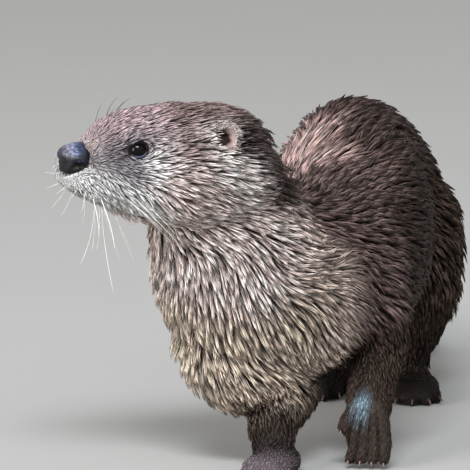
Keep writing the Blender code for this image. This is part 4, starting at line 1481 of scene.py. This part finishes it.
def hairRings(rows, hand):
    # root + s (tip - root), bowed by sag * 4s(1-s) down and forwards, and thinner to the tip
    s = np.linspace(0, 1, hairShape["steps"])[:, None]
    bow = (upward * hairShape["down"] + headForward * hairShape["ahead"]) * 4 * s * (1 - s)
    forms = []
    for (b, a, u), (tb, ta, tu), sag, thick in rows:
        path = mix(headPoint(b, hand * a, u), headPoint(tb, hand * ta, tu), s) - bow * sag
        radius = thick * hairShape["width"] * (1 - hairShape["taper"] * s[:, 0] ** hairShape["power"])
        forms.append(pipe(path, radius, (0.3, 0.5, 0.81), hairShape["sides"]))
    return joined(forms)


for side, hand in (("left", 1), ("right", -1)):
    for name, rows, tint in (("whiskers_", whiskers[side], "pale"),
                             ("browWhiskers_", browWhiskers, "dark")):
        form = hairRings(rows, hand)
        colour = np.tile(hairShape[tint], (len(form[0]), 1))
        piece(name + side, form, finishes["whiskerHair"], colour)
print("whiskers made")


stageSize = dict(floor=60.0, panel=(2.6, 1.5), panelPower=390, panelWay=(0.20, -0.70, 0.68),
                 panelDistance=6, panelTarget=(0.0, -0.35, 0.15), panelColour=(0.93, 0.97, 1.0),
                 world=0.42, worldColour=(0.90, 0.92, 0.95))
# Suns: the way the light goes, strength, softness in degrees, colour.
suns = {
    "key": ((0.45, 0.85, -0.24), 3.1, 34, (1.0, 0.965, 0.92)),
    "fill": ((-0.8, 0.8, -0.35), 0.7, 70, (1.0, 0.975, 0.96)),
    "rim": ((0.5, -1.0, -0.8), 0.2, 25, (0.96, 0.98, 1.0)),
}
cameraView = dict(azimuth=18, elevation=7, distance=2.6, target=(0.018, -0.362, 0.1518),
                  width=0.2867, sensor=36)


def makeFloor():
    material, tree, main = shader("paleFloor", 0.85, 0.2)
    soft = rampNode(tree, noiseNode(tree, 3, 2, objectPlace(tree)),
                    ((0.3, (0.436, 0.432, 0.420)), (0.7, (0.444, 0.440, 0.428))))
    tree.links.new(soft, main["Base Color"])
    half = stageSize["floor"] / 2
    corners = [(x * half, y * half, 0) for x, y in ((-1, -1), (1, -1), (1, 1), (-1, 1))]
    mesh = bpy.data.meshes.new("floor")
    mesh.from_pydata(corners, [], [(0, 1, 2, 3)])
    mesh.materials.append(material)
    placed("floor", mesh)


def facing(way):
    return Vector(way).to_track_quat("-Z", "Y").to_euler()


def makeLights():
    panel = bpy.data.lights.new("panel", "AREA")
    panel.shape = "RECTANGLE"
    panel.size, panel.size_y = stageSize["panel"]
    panel.energy, panel.color = stageSize["panelPower"], stageSize["panelColour"]
    made = placed("panel", panel)
    away = Vector(stageSize["panelWay"]).normalized()
    made.location = Vector(stageSize["panelTarget"]) + away * stageSize["panelDistance"]
    made.rotation_euler = facing(-away)
    for name, (way, strength, softness, colour) in suns.items():
        lamp = bpy.data.lights.new(name, "SUN")
        lamp.energy, lamp.angle, lamp.color = strength, math.radians(softness), colour
        placed(name, lamp).rotation_euler = facing(way)
    world = bpy.data.worlds.new("studio")
    world.use_nodes = True
    background = world.node_tree.nodes["Background"].inputs
    background["Color"].default_value = (*stageSize["worldColour"], 1)
    background["Strength"].default_value = stageSize["world"]
    bpy.context.scene.world = world
    bpy.context.scene.view_settings.view_transform = "Standard"


def makeCamera():
    azimuth, elevation = math.radians(cameraView["azimuth"]), math.radians(cameraView["elevation"])
    away = np.array([math.sin(azimuth) * math.cos(elevation), -math.cos(azimuth) * math.cos(elevation),
                     math.sin(elevation)])
    lens = bpy.data.cameras.new("camera")
    lens.sensor_width = cameraView["sensor"]
    lens.lens = cameraView["sensor"] * cameraView["distance"] / cameraView["width"]
    lens.clip_end = 60
    camera = placed("camera", lens)
    camera.location = np.array(cameraView["target"]) + away * cameraView["distance"]
    camera.rotation_euler = facing(-away)
    bpy.context.scene.camera = camera


makeFloor()
makeLights()
makeCamera()
print("stage, lights and camera set")
